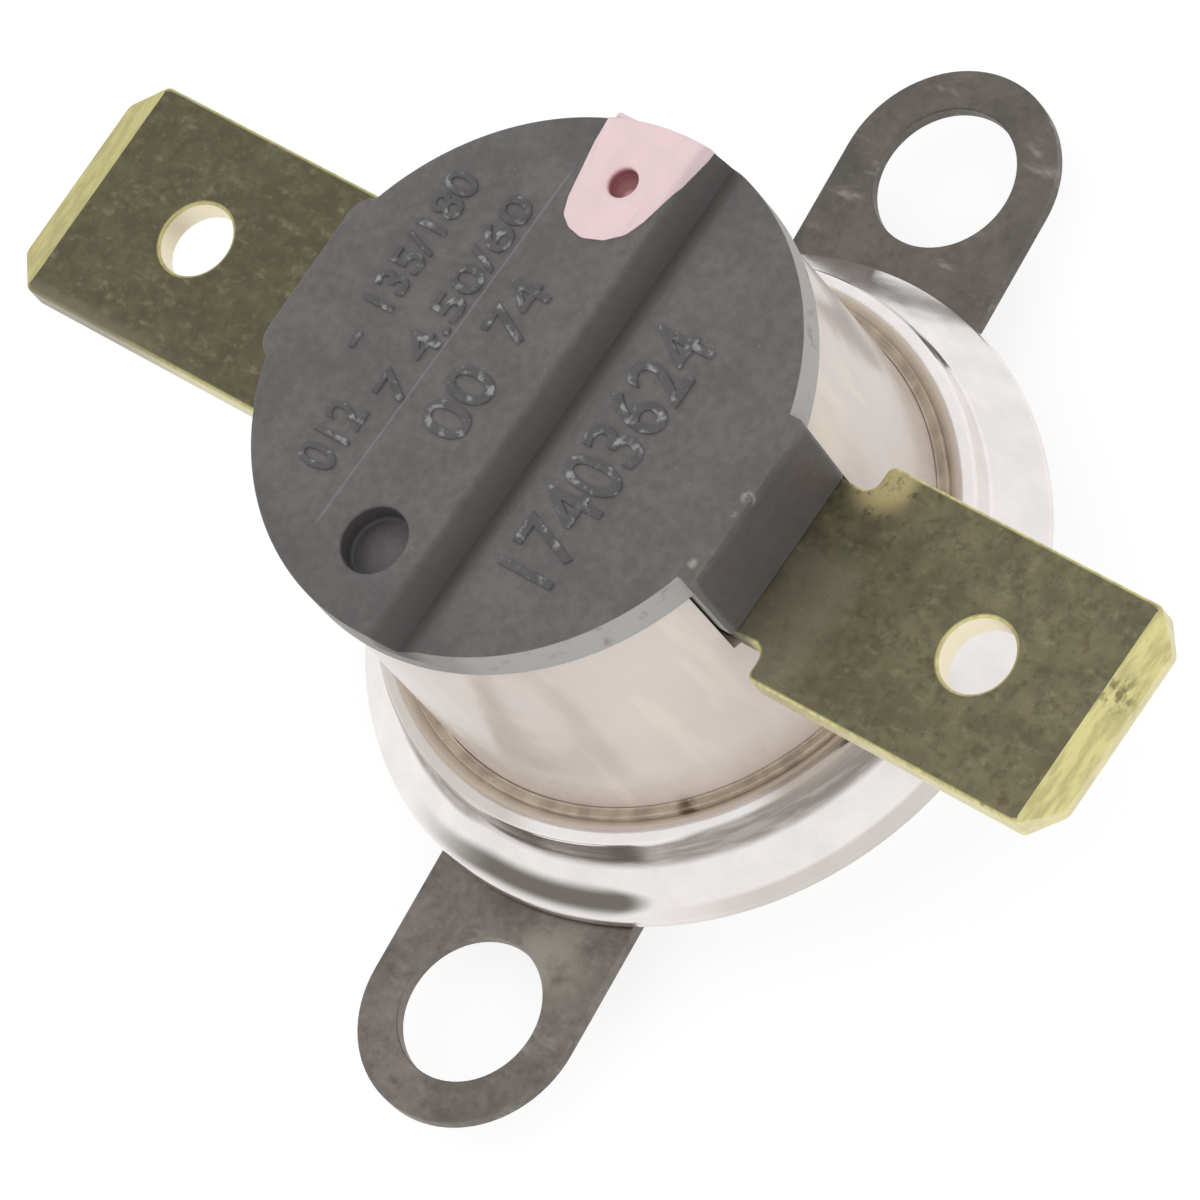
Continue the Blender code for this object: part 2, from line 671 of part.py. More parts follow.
def tubular_rivet(name, x, head_seat, parts, material):
    """A hollow rivet with a rolled head and its lower end clinched over the washer."""
    bore = RIVET_RADIUS - RIVET_WALL
    clinch_radius = RIVET_RADIUS + RIVET_CLINCH_OVERHANG
    clinch_top = RECESS_TOP - FIT - WASHER_THICKNESS - FIT - head_seat
    corners = [
        (bore, RIVET_HEAD, 0.12 * MM),
        (RIVET_HEAD_RADIUS, RIVET_HEAD, 0.15 * MM),
        (RIVET_HEAD_RADIUS, 0, 0.05 * MM),
        (RIVET_RADIUS, 0, 0),
        (RIVET_RADIUS, clinch_top, 0),
        (clinch_radius, clinch_top, 0.05 * MM),
        (clinch_radius, clinch_top - RIVET_CLINCH, 0.12 * MM),
        (bore, clinch_top - RIVET_CLINCH, 0.08 * MM),
    ]
    rivet = turned(name, corners, parts, material, head_seat, steps=SMALL_STEPS, closed=True)
    rivet.location.x = x
    return rivet


def washer(name, x, parts, material):
    hole = RIVET_RADIUS + FIT
    rim = RIVET_RADIUS + WASHER_OVERHANG
    corners = [
        (hole, WASHER_THICKNESS, 0),
        (rim, WASHER_THICKNESS, 0),
        (rim, 0, 0),
        (hole, 0, 0),
    ]
    underside = RECESS_TOP - FIT - WASHER_THICKNESS
    ring = turned(name, corners, parts, material, underside, steps=SMALL_STEPS, closed=True)
    ring.location.x = x
    return ring


def rivets(parts, brass, steel):
    clamp_top = CLAMP_Z + CLAMP_THICKNESS
    tubular_rivet("fixed_terminal_rivet", RIVET_X, TERMINAL_TOP + FIT, parts, brass)
    tubular_rivet("moving_terminal_rivet", -RIVET_X, clamp_top + FIT, parts, brass)
    washer("fixed_rivet_washer", RIVET_X, parts, steel)
    washer("moving_rivet_washer", -RIVET_X, parts, steel)


def contact(name, radius, height, seat, sheet, facing, parts, material):
    """A riveted contact. Facing is 1 for a head above its sheet and -1 for one below it."""
    through = sheet + 2 * FIT
    corners = [
        (0, height, 0),
        (radius, height - 0.06 * MM, 0.06 * MM),
        (radius, 0, 0),
        (CONTACT_SHANK_RADIUS, 0, 0),
        (CONTACT_SHANK_RADIUS, -through, 0),
        (CONTACT_TAIL_RADIUS, -through, 0),
        (CONTACT_TAIL_RADIUS, -through - CONTACT_TAIL, 0.08 * MM),
        (0, -through - CONTACT_TAIL, 0),
    ]
    if facing < 0:
        corners = [(across, -up, radius_at) for across, up, radius_at in reversed(corners)]
    button = turned(name, corners, parts, material, seat, steps=SMALL_STEPS)
    button.location.x = CONTACT_X
    return button


def contacts(parts, material):
    contact(
        "fixed_contact", FIXED_CONTACT_RADIUS, FIXED_CONTACT_HEIGHT, TERMINAL_TOP + FIT,
        TERMINAL_THICKNESS, 1, parts, material,
    )
    contact(
        "moving_contact", MOVING_CONTACT_RADIUS, MOVING_CONTACT_HEIGHT, SPRING_ARM_Z - FIT,
        SPRING_THICKNESS, -1, parts, material,
    )


def v_cut(name, left, deepest, right, depth, cutters):
    """A cutter that runs along Y over the whole cover."""
    above = COVER_TOP + depth
    outline = [
        (left - (deepest - left), above),
        (left, COVER_TOP),
        (deepest, COVER_TOP - depth),
        (right, COVER_TOP),
        (right + (right - deepest), above),
    ]
    return prism(name, [outline], 2 * COVER_RADIUS, cutters, upright=True)


def blind_hole(cover, name, y, radius, depth, cutters):
    hole = cylinder(name, (RECESS_X, y), radius, COVER_TOP - depth, COVER_TOP + depth, cutters, HOLE_STEPS)
    combine(cover, hole, "DIFFERENCE")


def top_cover(parts, cutters, material):
    """Moulded disc with a spigot into the body, a tongue over each terminal, a small key and a groove."""
    spigot_outer = CAVITY_RADIUS - SPIGOT_CLEARANCE
    corners = [
        (0, COVER_TOP, 0),
        (COVER_RADIUS, COVER_TOP, COVER_EDGE),
        (COVER_RADIUS, COVER_Z, COVER_EDGE / 2),
        (spigot_outer, COVER_Z, 0),
        (spigot_outer, COVER_Z - SPIGOT_DEPTH, 0.1 * MM),
        (spigot_outer - SPIGOT_WALL, COVER_Z - SPIGOT_DEPTH, 0.1 * MM),
        (spigot_outer - SPIGOT_WALL, COVER_Z, 0),
        (0, COVER_Z, 0),
    ]
    cover = turned("top_cover", corners, parts, material)
    for side, word in ((1, "fixed"), (-1, "moving")):
        ends = sorted((side * (TONGUE_FACE - TONGUE_THICKNESS), side * TONGUE_FACE))
        low = (ends[0], -TONGUE_WIDTH / 2, TERMINAL_TOP + FIT)
        high = (ends[1], TONGUE_WIDTH / 2, COVER_TOP - TONGUE_SETBACK)
        combine(cover, box(word + "_tongue", low, high, cutters), "UNION")
    key_face = COVER_RADIUS - KEY_SETBACK
    key = box("cover_key", (KEY_LEFT, 0, COVER_Z), (KEY_RIGHT, key_face, COVER_TOP), cutters)
    combine(cover, key, "UNION")
    groove = v_cut("cover_groove", GROOVE_LEFT, GROOVE_DEEPEST, GROOVE_RIGHT, GROOVE_DEPTH, cutters)
    combine(cover, groove, "DIFFERENCE")
    half_line = LINE_WIDTH / 2
    line = v_cut("cover_line", LINE_X - half_line, LINE_X, LINE_X + half_line, LINE_DEPTH, cutters)
    combine(cover, line, "DIFFERENCE")
    large_y = LARGE_RECESS_INSET - COVER_RADIUS
    small_y = COVER_RADIUS - SMALL_RECESS_INSET
    blind_hole(cover, "large_recess", large_y, LARGE_RECESS_RADIUS, LARGE_RECESS_DEPTH, cutters)
    blind_hole(cover, "small_recess", small_y, SMALL_RECESS_RADIUS, SMALL_RECESS_DEPTH, cutters)
    return cover


def mounting_bracket(parts, material):
    """A flat stamped ring with two ears, free to turn on the cup between its flange and its bead."""
    ear_radius = EAR_HOLE_RADIUS + EAR_RIM
    root = math.asin(ear_radius / BRACKET_RING_RADIUS)
    quarter = math.pi / 2
    outline = arc((EAR_X, 0), ear_radius, -quarter, quarter, 16)
    outline += arc((0, 0), BRACKET_RING_RADIUS, root, math.pi - root, 28)
    outline += arc((-EAR_X, 0), ear_radius, quarter, 3 * quarter, 16)
    outline += arc((0, 0), BRACKET_RING_RADIUS, math.pi + root, 2 * math.pi - root, 28)
    bore = circle((0, 0), BRACKET_BORE, FINE_STEPS)
    holes = [circle((side * EAR_X, 0), EAR_HOLE_RADIUS, HOLE_STEPS) for side in (1, -1)]
    bracket = prism("mounting_bracket", [outline, bore, *holes], BRACKET_THICKNESS / 2, parts, material)
    soften(bracket, BRACKET_EDGE)
    axis = pivot("bracket_axis", parts, (0, 0, BRACKET_Z + BRACKET_THICKNESS / 2), BRACKET_ANGLE)
    bracket.parent = axis
    return bracket


def smooth_flat_made(parts):
    """Turned pieces are smooth already. The others get smooth rounds and sharp edges."""
    for obj in parts.objects:
        if obj.type == "MESH" and "turn" not in obj.modifiers:
            obj.data.shade_smooth()
            obj.data.set_sharp_from_angle(angle=math.radians(35))


def build():
    clear_scene()
    parts = collection("oven_thermostat")
    cutters = collection("cutters")
    aluminium = finish("polished_aluminium", (0.82, 0.82, 0.83), 0.14, 1)
    steel = finish("plated_steel", (0.33, 0.31, 0.29), 0.42, 1)
    brass = finish("tarnished_brass", (0.36, 0.33, 0.17), 0.4, 1)
    rivet_brass = finish("rivet_brass", (0.62, 0.48, 0.24), 0.3, 1)
    ceramic = finish("cream_ceramic", (0.78, 0.73, 0.68), 0.35, 0)
    phenolic = finish("dark_phenolic", (0.13, 0.125, 0.12), 0.6, 0)
    guide_resin = finish("guide_resin", (0.2, 0.13, 0.08), 0.6, 0)
    sealant = finish("brown_sealant", (0.17, 0.12, 0.08), 0.5, 0)
    silver = finish("contact_silver", (0.85, 0.85, 0.83), 0.25, 1)
    spring_bronze = finish("spring_bronze", (0.66, 0.42, 0.2), 0.3, 1)
    bimetal = finish("bimetal_sheet", (0.5, 0.48, 0.45), 0.35, 1)
    sensing_cup(parts, aluminium)
    bimetal_disc(parts, bimetal)
    pin_guide(parts, guide_resin)
    push_rod(parts, ceramic)
    base_body(parts, cutters, ceramic)
    seam_seal(parts, sealant)
    terminals(parts, cutters, brass)
    leaf = contact_spring(parts, cutters, spring_bronze)
    spring_clamp(parts, steel)
    rivets(parts, rivet_brass, steel)
    contacts(parts, silver)
    top_cover(parts, cutters, phenolic)
    mounting_bracket(parts, steel)
    spring_root = pivot("contact_axis", parts, (-SPRING_BEND_X, 0, SPRING_ROOT_Z))
    hang_on(leaf, spring_root)
    hang_on(bpy.data.objects["moving_contact"], spring_root)
    smooth_flat_made(parts)


build()
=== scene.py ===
"""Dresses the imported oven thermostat: finer outer pieces, finishes and a plain studio."""

import json
import math

import bmesh
import bpy
from bpy.props import FloatProperty, FloatVectorProperty, PointerProperty
from bpy.types import Operator, Panel, PropertyGroup
from mathutils import Matrix, Vector

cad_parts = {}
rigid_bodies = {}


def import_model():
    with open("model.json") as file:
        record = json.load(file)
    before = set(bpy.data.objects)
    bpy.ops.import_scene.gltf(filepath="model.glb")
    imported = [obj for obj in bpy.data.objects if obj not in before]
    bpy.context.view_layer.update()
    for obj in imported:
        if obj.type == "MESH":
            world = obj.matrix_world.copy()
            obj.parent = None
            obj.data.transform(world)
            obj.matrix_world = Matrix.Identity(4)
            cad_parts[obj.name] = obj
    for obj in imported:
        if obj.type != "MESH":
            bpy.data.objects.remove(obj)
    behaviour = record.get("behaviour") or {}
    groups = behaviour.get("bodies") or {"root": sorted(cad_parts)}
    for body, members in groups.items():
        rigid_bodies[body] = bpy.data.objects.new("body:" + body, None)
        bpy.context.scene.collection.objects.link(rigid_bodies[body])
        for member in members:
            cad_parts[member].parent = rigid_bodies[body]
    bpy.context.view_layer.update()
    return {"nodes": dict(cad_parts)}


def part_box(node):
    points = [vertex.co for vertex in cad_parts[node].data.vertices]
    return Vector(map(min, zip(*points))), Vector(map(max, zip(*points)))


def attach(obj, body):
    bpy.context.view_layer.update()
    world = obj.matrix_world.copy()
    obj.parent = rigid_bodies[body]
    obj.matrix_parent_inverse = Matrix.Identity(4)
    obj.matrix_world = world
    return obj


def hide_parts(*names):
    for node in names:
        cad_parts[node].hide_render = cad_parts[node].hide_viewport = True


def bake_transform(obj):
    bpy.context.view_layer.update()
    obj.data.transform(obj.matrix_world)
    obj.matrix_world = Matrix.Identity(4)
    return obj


bl_info = {
    "name": "Oven thermostat",
    "version": (1, 0, 0),
    "blender": (4, 5, 0),
    "location": "3D View > Sidebar > Thermostat",
    "description": "Builds the pieces, finishes and studio of a snap-disc oven thermostat",
    "category": "Object",
}

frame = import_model()

MM = 0.001
TURN_STEPS = 192

CUP_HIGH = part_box("sensing_cup")[1]
BODY_LOW, BODY_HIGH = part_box("base_body")
COVER_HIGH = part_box("top_cover")[1]
BLADE_LOW, BLADE_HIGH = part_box("fixed_terminal")
MOVING_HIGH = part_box("moving_terminal")[1]
BRACKET_LOW, BRACKET_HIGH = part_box("mounting_bracket")
SEAL_LOW, SEAL_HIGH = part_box("seam_seal")

# In millimetres, as all lengths below that aren't marked with MM.
COVER_TOP = COVER_HIGH.z / MM
CRIMP_TOP = CUP_HIGH.z / MM
FOLD_DEPTH = 1.17
RECESS_X = -1.02
RIVET_X, RIVET_BORE = 4.4, 0.95
TAB_HOLE_X = BLADE_HIGH.x / MM - 4.28

# In metres: vertices closer than this are one, and how near a place counts as on it.
MERGED = 0.0004 * MM
NEAR = 1e-7
ON_AXIS = 1e-8


def length(name, description, millimetres):
    """A size that is kept in metres."""
    return FloatProperty(
        name=name, description=description, default=millimetres * MM, precision=5, unit="LENGTH"
    )


def tint(name, description, red, green, blue):
    """A colour from its 0 to 255 values."""
    levels = []
    for value in (red, green, blue):
        share = value / 255
        levels.append(share / 12.92 if share <= 0.04045 else ((share + 0.055) / 1.055) ** 2.4)
    return FloatVectorProperty(
        name=name, description=description, default=levels, subtype="COLOR", size=3, min=0, max=1
    )


class ThermostatSizes(PropertyGroup):
    """Sizes of the outer pieces. The main ones start from the solids."""

    cup_radius: length("Cup radius", "Outside of the cup's wall", 7.95)
    cup_bore: length("Cup bore", "Inside of the cup's wall", 7.55)
    crimp_height: length("Crimp height", "Top of the rim crimped over the foot", CRIMP_TOP)
    flange_radius: length("Flange radius", "Outer rim of the folded flange", CUP_HIGH.x / MM)
    flange_under: length("Flange underside", "Height of the flange's underside", 1.9)
    body_radius: length("Body radius", "Outside of the ceramic wall", 7.0)
    foot_radius: length("Foot radius", "Outside of the ceramic foot", BODY_HIGH.x / MM)
    foot_top: length("Foot top", "Height where the foot ends", 3.75)
    cover_radius: length("Cover radius", "Outside of the moulded cover", COVER_HIGH.y / MM + 0.06)
    cover_rim: length("Cover rim", "Rounding of the cover's top edge", 0.06)
    cover_under: length("Cover underside", "Height of the cover's underside", 12.05)
    tongue_face: length("Tongue face", "Outer face of the cover's tongues", COVER_HIGH.x / MM)
    tongue_set: length("Tongue set-back", "How far the foot of the +X tongue sets back", 0.26)
    tongue_width: length("Tongue width", "Width of the cover's tongues", 4.7)
    blade_edge: length("Blade edge", "Rounding of the blades' edges", 0.09)
    blade_tip: length("Blade tip", "Length of the bevel at the tip of a blade", 0.85)
    bracket_edge: length("Bracket edge", "Rounding of the bracket's edges", 0.05)
    lacquer_film: length("Lacquer film", "Thickness of the lacquer spot", 0.035)
    character_rise: length("Character rise", "Height of the moulded characters", 0.045)


class ThermostatColours(PropertyGroup):
    """Colours of the finishes."""

    phenolic: tint("Phenolic", "Moulded cover", 99, 96, 95)
    lacquer: tint("Lacquer", "Sealing lacquer on the cover", 244, 216, 219)
    ceramic: tint("Ceramic", "Body", 217, 206, 199)
    sealant: tint("Sealant", "Line between body and cup", 198, 182, 164)
    aluminium: tint("Aluminium", "Cup", 240, 235, 233)
    brass: tint("Brass", "Aged face of the blades", 124, 118, 92)
    bright_brass: tint("Bright brass", "Coined edges of the blades", 222, 213, 150)
    steel: tint("Steel", "Plated bracket", 126, 119, 113)
    floor: tint("Floor", "Studio floor", 245, 245, 245)


class Wire:
    """A value on its way between nodes, so that shader maths reads as Python."""

    def __init__(self, bench, socket):
        self.bench = bench
        self.socket = socket

    def maths(self, operation, first, second):
        return self.bench.node("ShaderNodeMath", {"operation": operation}, {0: first, 1: second})

    def __add__(self, other):
        return self.maths("ADD", self, other)

    __radd__ = __add__

    def __sub__(self, other):
        return self.maths("SUBTRACT", self, other)

    def __rsub__(self, other):
        return self.maths("SUBTRACT", other, self)

    def __mul__(self, other):
        return self.maths("MULTIPLY", self, other)

    __rmul__ = __mul__

    def __pow__(self, other):
        return self.maths("POWER", self, other)

    def __abs__(self):
        return self.maths("ABSOLUTE", self, 0)

    def fade(self, start, end):
        """0 at start and 1 at end, with a soft change between them."""
        sockets = {"Value": self, "From Min": start, "From Max": end}
        return self.bench.node("ShaderNodeMapRange", {"interpolation_type": "SMOOTHSTEP"}, sockets)

    def band(self, start, end, soft):
        """1 between start and end, 0 outside them, with soft sides."""
        return self.fade(start - soft, start + soft) * self.fade(end + soft, end - soft)


class Bench:
    """Makes the nodes of one tree and joins them."""

    def __init__(self, tree):
        self.tree = tree

    def node(self, kind, settings=None, inputs=None, output=0):
        """Any node, from its type, its settings and what goes into its sockets."""
        made = self.tree.nodes.new(kind)
        for name, value in (settings or {}).items():
            setattr(made, name, value)
        for name, value in (inputs or {}).items():
            self.feed(made.inputs[name], value)
        return Wire(self, made.outputs[output])

    def feed(self, socket, value):
        if isinstance(value, Wire):
            self.tree.links.new(value.socket, socket)
        elif socket.type == "RGBA":
            socket.default_value = (*value, 1)
        else:
            socket.default_value = value


class Finish(Bench):
    """One procedural material. Its patterns are laid out in millimetres."""

    def __init__(self, name):
        self.material = bpy.data.materials.new(name)
        self.material.use_nodes = True
        super().__init__(self.material.node_tree)
        self.shader = self.tree.nodes["Principled BSDF"]
        self.shade = None
        place = self.node("ShaderNodeTexCoord", output="Object")
        scale = (1 / MM, 1 / MM, 1 / MM)
        multiply = {"operation": "MULTIPLY"}
        self.place = self.node("ShaderNodeVectorMath", multiply, {0: place, 1: scale})

    def axis(self, letter):
        return self.node("ShaderNodeSeparateXYZ", inputs={0: self.place}, output=letter)

    def bearing(self):
        """The angle round the upright axis, in degrees from +X."""
        y = self.axis("Y")
        return y.maths("ARCTAN2", y, self.axis("X")) * math.degrees(1)

    def facing(self, letter):
        """How far a face looks along an axis, from 0 to 1."""
        normal = self.node("ShaderNodeTexCoord", output="Normal")
        return abs(self.node("ShaderNodeSeparateXYZ", inputs={0: normal}, output=letter))

    def radius(self):
        x, y = self.axis("X"), self.axis("Y")
        return (x * x + y * y) ** 0.5

    def stretched(self, stretch, turn=0.0):
        """The place, with patterns drawn out along an axis."""
        scale = tuple(1 / share for share in stretch)
        sockets = {"Vector": self.place, "Rotation": (0, 0, turn), "Scale": scale}
        return self.node("ShaderNodeMapping", inputs=sockets)

    def noise(self, size, detail=3, roughness=0.55, place=None, shift=0.0):
        """Cloudy noise from 0 to 1, its patches about as wide as size."""
        place = place or self.place
        if shift:
            sockets = {0: place, 1: (shift, shift, shift)}
            place = self.node("ShaderNodeVectorMath", {"operation": "ADD"}, sockets)
        sockets = {"Vector": place, "Scale": 1 / size, "Detail": detail, "Roughness": roughness}
        return self.node("ShaderNodeTexNoise", inputs=sockets)

    def spot(self, x, y, z, inner, outer):
        """1 within the inner distance of a point and 0 beyond the outer one."""
        sockets = {0: self.place, 1: (x, y, z)}
        away = self.node("ShaderNodeVectorMath", {"operation": "DISTANCE"}, sockets, "Value")
        return away.fade(outer, inner)

    def mix(self, mask, first, second):
        settings = {"data_type": "RGBA", "clamp_result": True}
        return self.node("ShaderNodeMix", settings, {0: mask, 6: first, 7: second}, 2)

    def bump(self, height, depth, before=None):
        """Relief of that depth in millimetres."""
        sockets = {"Height": height, "Distance": depth * MM, "Strength": 1.0}
        if before:
            sockets["Normal"] = before
        return self.node("ShaderNodeBump", inputs=sockets)

    def cloud(self, mask, start, end, colour, dark, pale=1.0):
        """Starts the shade: the colour in clouds, from a dark to a pale share of it."""
        clouds = mask.fade(start, end)
        self.shade = self.mix(clouds, darker(colour, dark), darker(colour, pale))

    def paint(self, mask, colour):
        """Lays a colour over the shade, as strongly as the mask says."""
        self.shade = self.mix(mask, self.shade, colour)

    def finish(self, roughness, normal=None, **others):
        """Feeds the shader. The others are named for its sockets, with _ for a space."""
        self.feed(self.shader.inputs["Base Color"], self.shade)
        self.feed(self.shader.inputs["Roughness"], roughness)
        if normal:
            self.feed(self.shader.inputs["Normal"], normal)
        for name, value in others.items():
            self.feed(self.shader.inputs[name.replace("_", " ")], value)
        return self.material


def darker(colour, share):
    """The colour times a share, which is above 1 for a paler one."""
    return tuple(level * share for level in colour)


def phenolic_finish(colour):
    """Matt moulding compound: fine mottle, filler specks, painted side sheen and groove shade, pale
    marks.
    """
    bench = Finish("moulded_phenolic")
    top = COVER_TOP
    x, y, z = bench.axis("X"), bench.axis("Y"), bench.axis("Z")
    clouds = bench.noise(1.4, 3) * 0.4 + bench.noise(0.28, 4, 0.65, shift=7) * 0.6
    bench.cloud(clouds, 0.36, 0.66, colour, 0.84, 1.2)
    filler = bench.noise(0.1, 2, 0.5, shift=3).fade(0.66, 0.78)
    bench.paint(filler * 0.35, (0.34, 0.33, 0.33))
    # Painted sheen lightens the round side, and painted shade darkens the tongue's upright face.
    upright = bench.facing("Z").fade(0.6, 0.3)
    round_side_sheen = upright * bench.radius().band(6.9, 7.25, 0.03) * abs(x).fade(6.98, 6.9)
    round_side_sheen = round_side_sheen * bench.noise(0.5, 3, shift=11).fade(0.1, 0.45)
    bench.paint(round_side_sheen * 0.88, (0.42, 0.41, 0.39))
    tongue = x.fade(6.8, 6.9) * upright * abs(y).fade(2.45, 2.4) * z.fade(top - 0.1, top - 0.5)
    bench.paint(tongue * 0.7, (0.086, 0.073, 0.07))
    # Painted shade darkens the groove, most beyond its deepest line; the cover is darker towards
    # both its ends.
    groove = x.fade(0.3, 0.62) * x.fade(2.3, 1.3) * z.band(top - 0.6, top + 1, 0.05)
    bench.paint(groove * (0.68 + x.fade(0.6, 1.1) * 0.22), (0.036, 0.03, 0.029))
    bench.paint(abs(y).fade(4.9, 6.6) * x.fade(3.4, 2.4) * 0.35, (0.07, 0.065, 0.064))
    # The large recess: painted shade over it, with painted highlights on the far side of its floor.
    hole = z.fade(top - 0.02, top - 0.1) * bench.spot(RECESS_X, -5.03, top - 0.4, 0.98, 1.02)
    lit = bench.spot(-0.62, -4.95, top - 0.5, 0.55, 1.15)
    bench.paint(hole * (1 - lit) * 0.7, (0.04, 0.037, 0.037))
    bench.paint(hole * bench.spot(-0.8, -4.9, top - 0.6, 0.1, 0.45) * 0.3, (0.2, 0.19, 0.19))
    # The fine moulded line.
    flat = z.fade(top - 0.03, top - 0.015)
    line = abs(x - y * 0.024 + 2.56).fade(0.055, 0.02) * y.band(-5.3, 5.1, 0.2) * flat
    bench.paint(line * 0.3, (0.3, 0.29, 0.29))
    # Pale marks on the tongue's edge, then dark raised characters with small painted glints.
    pale_marks = bench.spot(7.1, 0.1, top - 0.1, 0.1, 0.24)
    pale_marks = pale_marks + bench.spot(7.05, -0.4, top - 0.1, 0.06, 0.16)
    pale_marks = pale_marks + bench.spot(6.9, -1.9, top - 0.08, 0.05, 0.2)
    pale_marks = pale_marks * bench.noise(0.3, 4, 0.7, shift=17).fade(0.4, 0.6)
    bench.paint(pale_marks * 0.8, (0.42, 0.4, 0.36))
    raised = z.fade(top + 0.004, top + 0.02)
    glints = raised * bench.noise(0.26, 2, 0.5, shift=19).fade(0.52, 0.74)
    bench.paint(raised * 0.5, (0.045, 0.043, 0.046))
    bench.paint(glints * 0.7, (0.4, 0.4, 0.42))
    grain = bench.bump(bench.noise(0.09, 3, 0.6, shift=5), 0.012)
    grain = bench.bump(bench.noise(0.9, 2, shift=9), 0.03, grain)
    grain = bench.bump(line, 0.012, grain)
    roughness = clouds.fade(0.2, 0.8) * 0.14 + 0.46
    return bench.finish(roughness, grain)


def lacquer_finish(colour):
    """Pale sealing lacquer, brown-red where it has pooled in the small recess."""
    bench = Finish("pink_lacquer")
    clouds = bench.noise(0.8, 3, shift=2)
    bench.cloud(clouds, 0.35, 0.7, colour, 0.95)
    depth = bench.axis("Z").fade(COVER_TOP - 0.02, COVER_TOP - 0.2)
    near = bench.spot(-0.97, 5.4, COVER_TOP, 0.6, 0.9)
    bench.paint(depth * near, (0.36, 0.14, 0.15))
    # Painted highlight in the small recess.
    glint = bench.spot(-0.8, 5.28, COVER_TOP - 0.38, 0.12, 0.3)
    bench.paint(glint * 0.95, (0.8, 0.5, 0.5))
    edge = bench.axis("X").fade(0.15, 0.5) * bench.axis("Y").fade(3.6, 5.2)
    bench.paint(edge * 0.5, (0.5, 0.4, 0.42))
    return bench.finish(0.34, bench.bump(bench.noise(0.5, 2, shift=4), 0.012))


def ceramic_finish(colour):
    """Smooth glazed ceramic: faint cloudiness, pale runs, darker towards the seam, a painted
    reflection.
    """
    bench = Finish("glazed_ceramic")
    clouds = bench.noise(3.2, 3, shift=1)
    bench.cloud(clouds, 0.35, 0.68, colour, 0.94)
    runs = bench.noise(0.8, 2, 0.5, bench.stretched((0.8, 0.8, 5)), shift=15).fade(0.5, 0.72)
    bench.paint(runs * 0.4, (0.8, 0.73, 0.6))
    darkened = bench.noise(1.0, 2, 0.5, bench.stretched((1, 1, 4)), shift=25).fade(0.5, 0.75)
    bench.paint(darkened * 0.4, (0.6, 0.52, 0.45))
    # Darker in patches towards the bottom, near the seam.
    low = bench.axis("Z").fade(6.2, 4.2)
    dark_patch = low * bench.noise(1.1, 4, shift=6).fade(0.2, 0.72)
    bench.paint(dark_patch * 0.45, (0.56, 0.47, 0.37))
    speck = bench.noise(0.16, 2, 0.5, shift=12).fade(0.74, 0.8)
    bench.paint(speck * 0.3, (0.42, 0.37, 0.31))
    # Painted reflection of the brass blade on the wall beside its neck.
    brass_reflection = bench.spot(7.0, 3.1, 10.9, 0.3, 1.1)
    bench.paint(brass_reflection * 0.5, (0.8, 0.68, 0.4))
    wave = bench.bump(bench.noise(2.4, 2, shift=8), 0.05)
    wave = bench.bump(bench.noise(0.2, 2, shift=14), 0.003, wave)
    return bench.finish(0.2 + dark_patch * 0.2, wave)


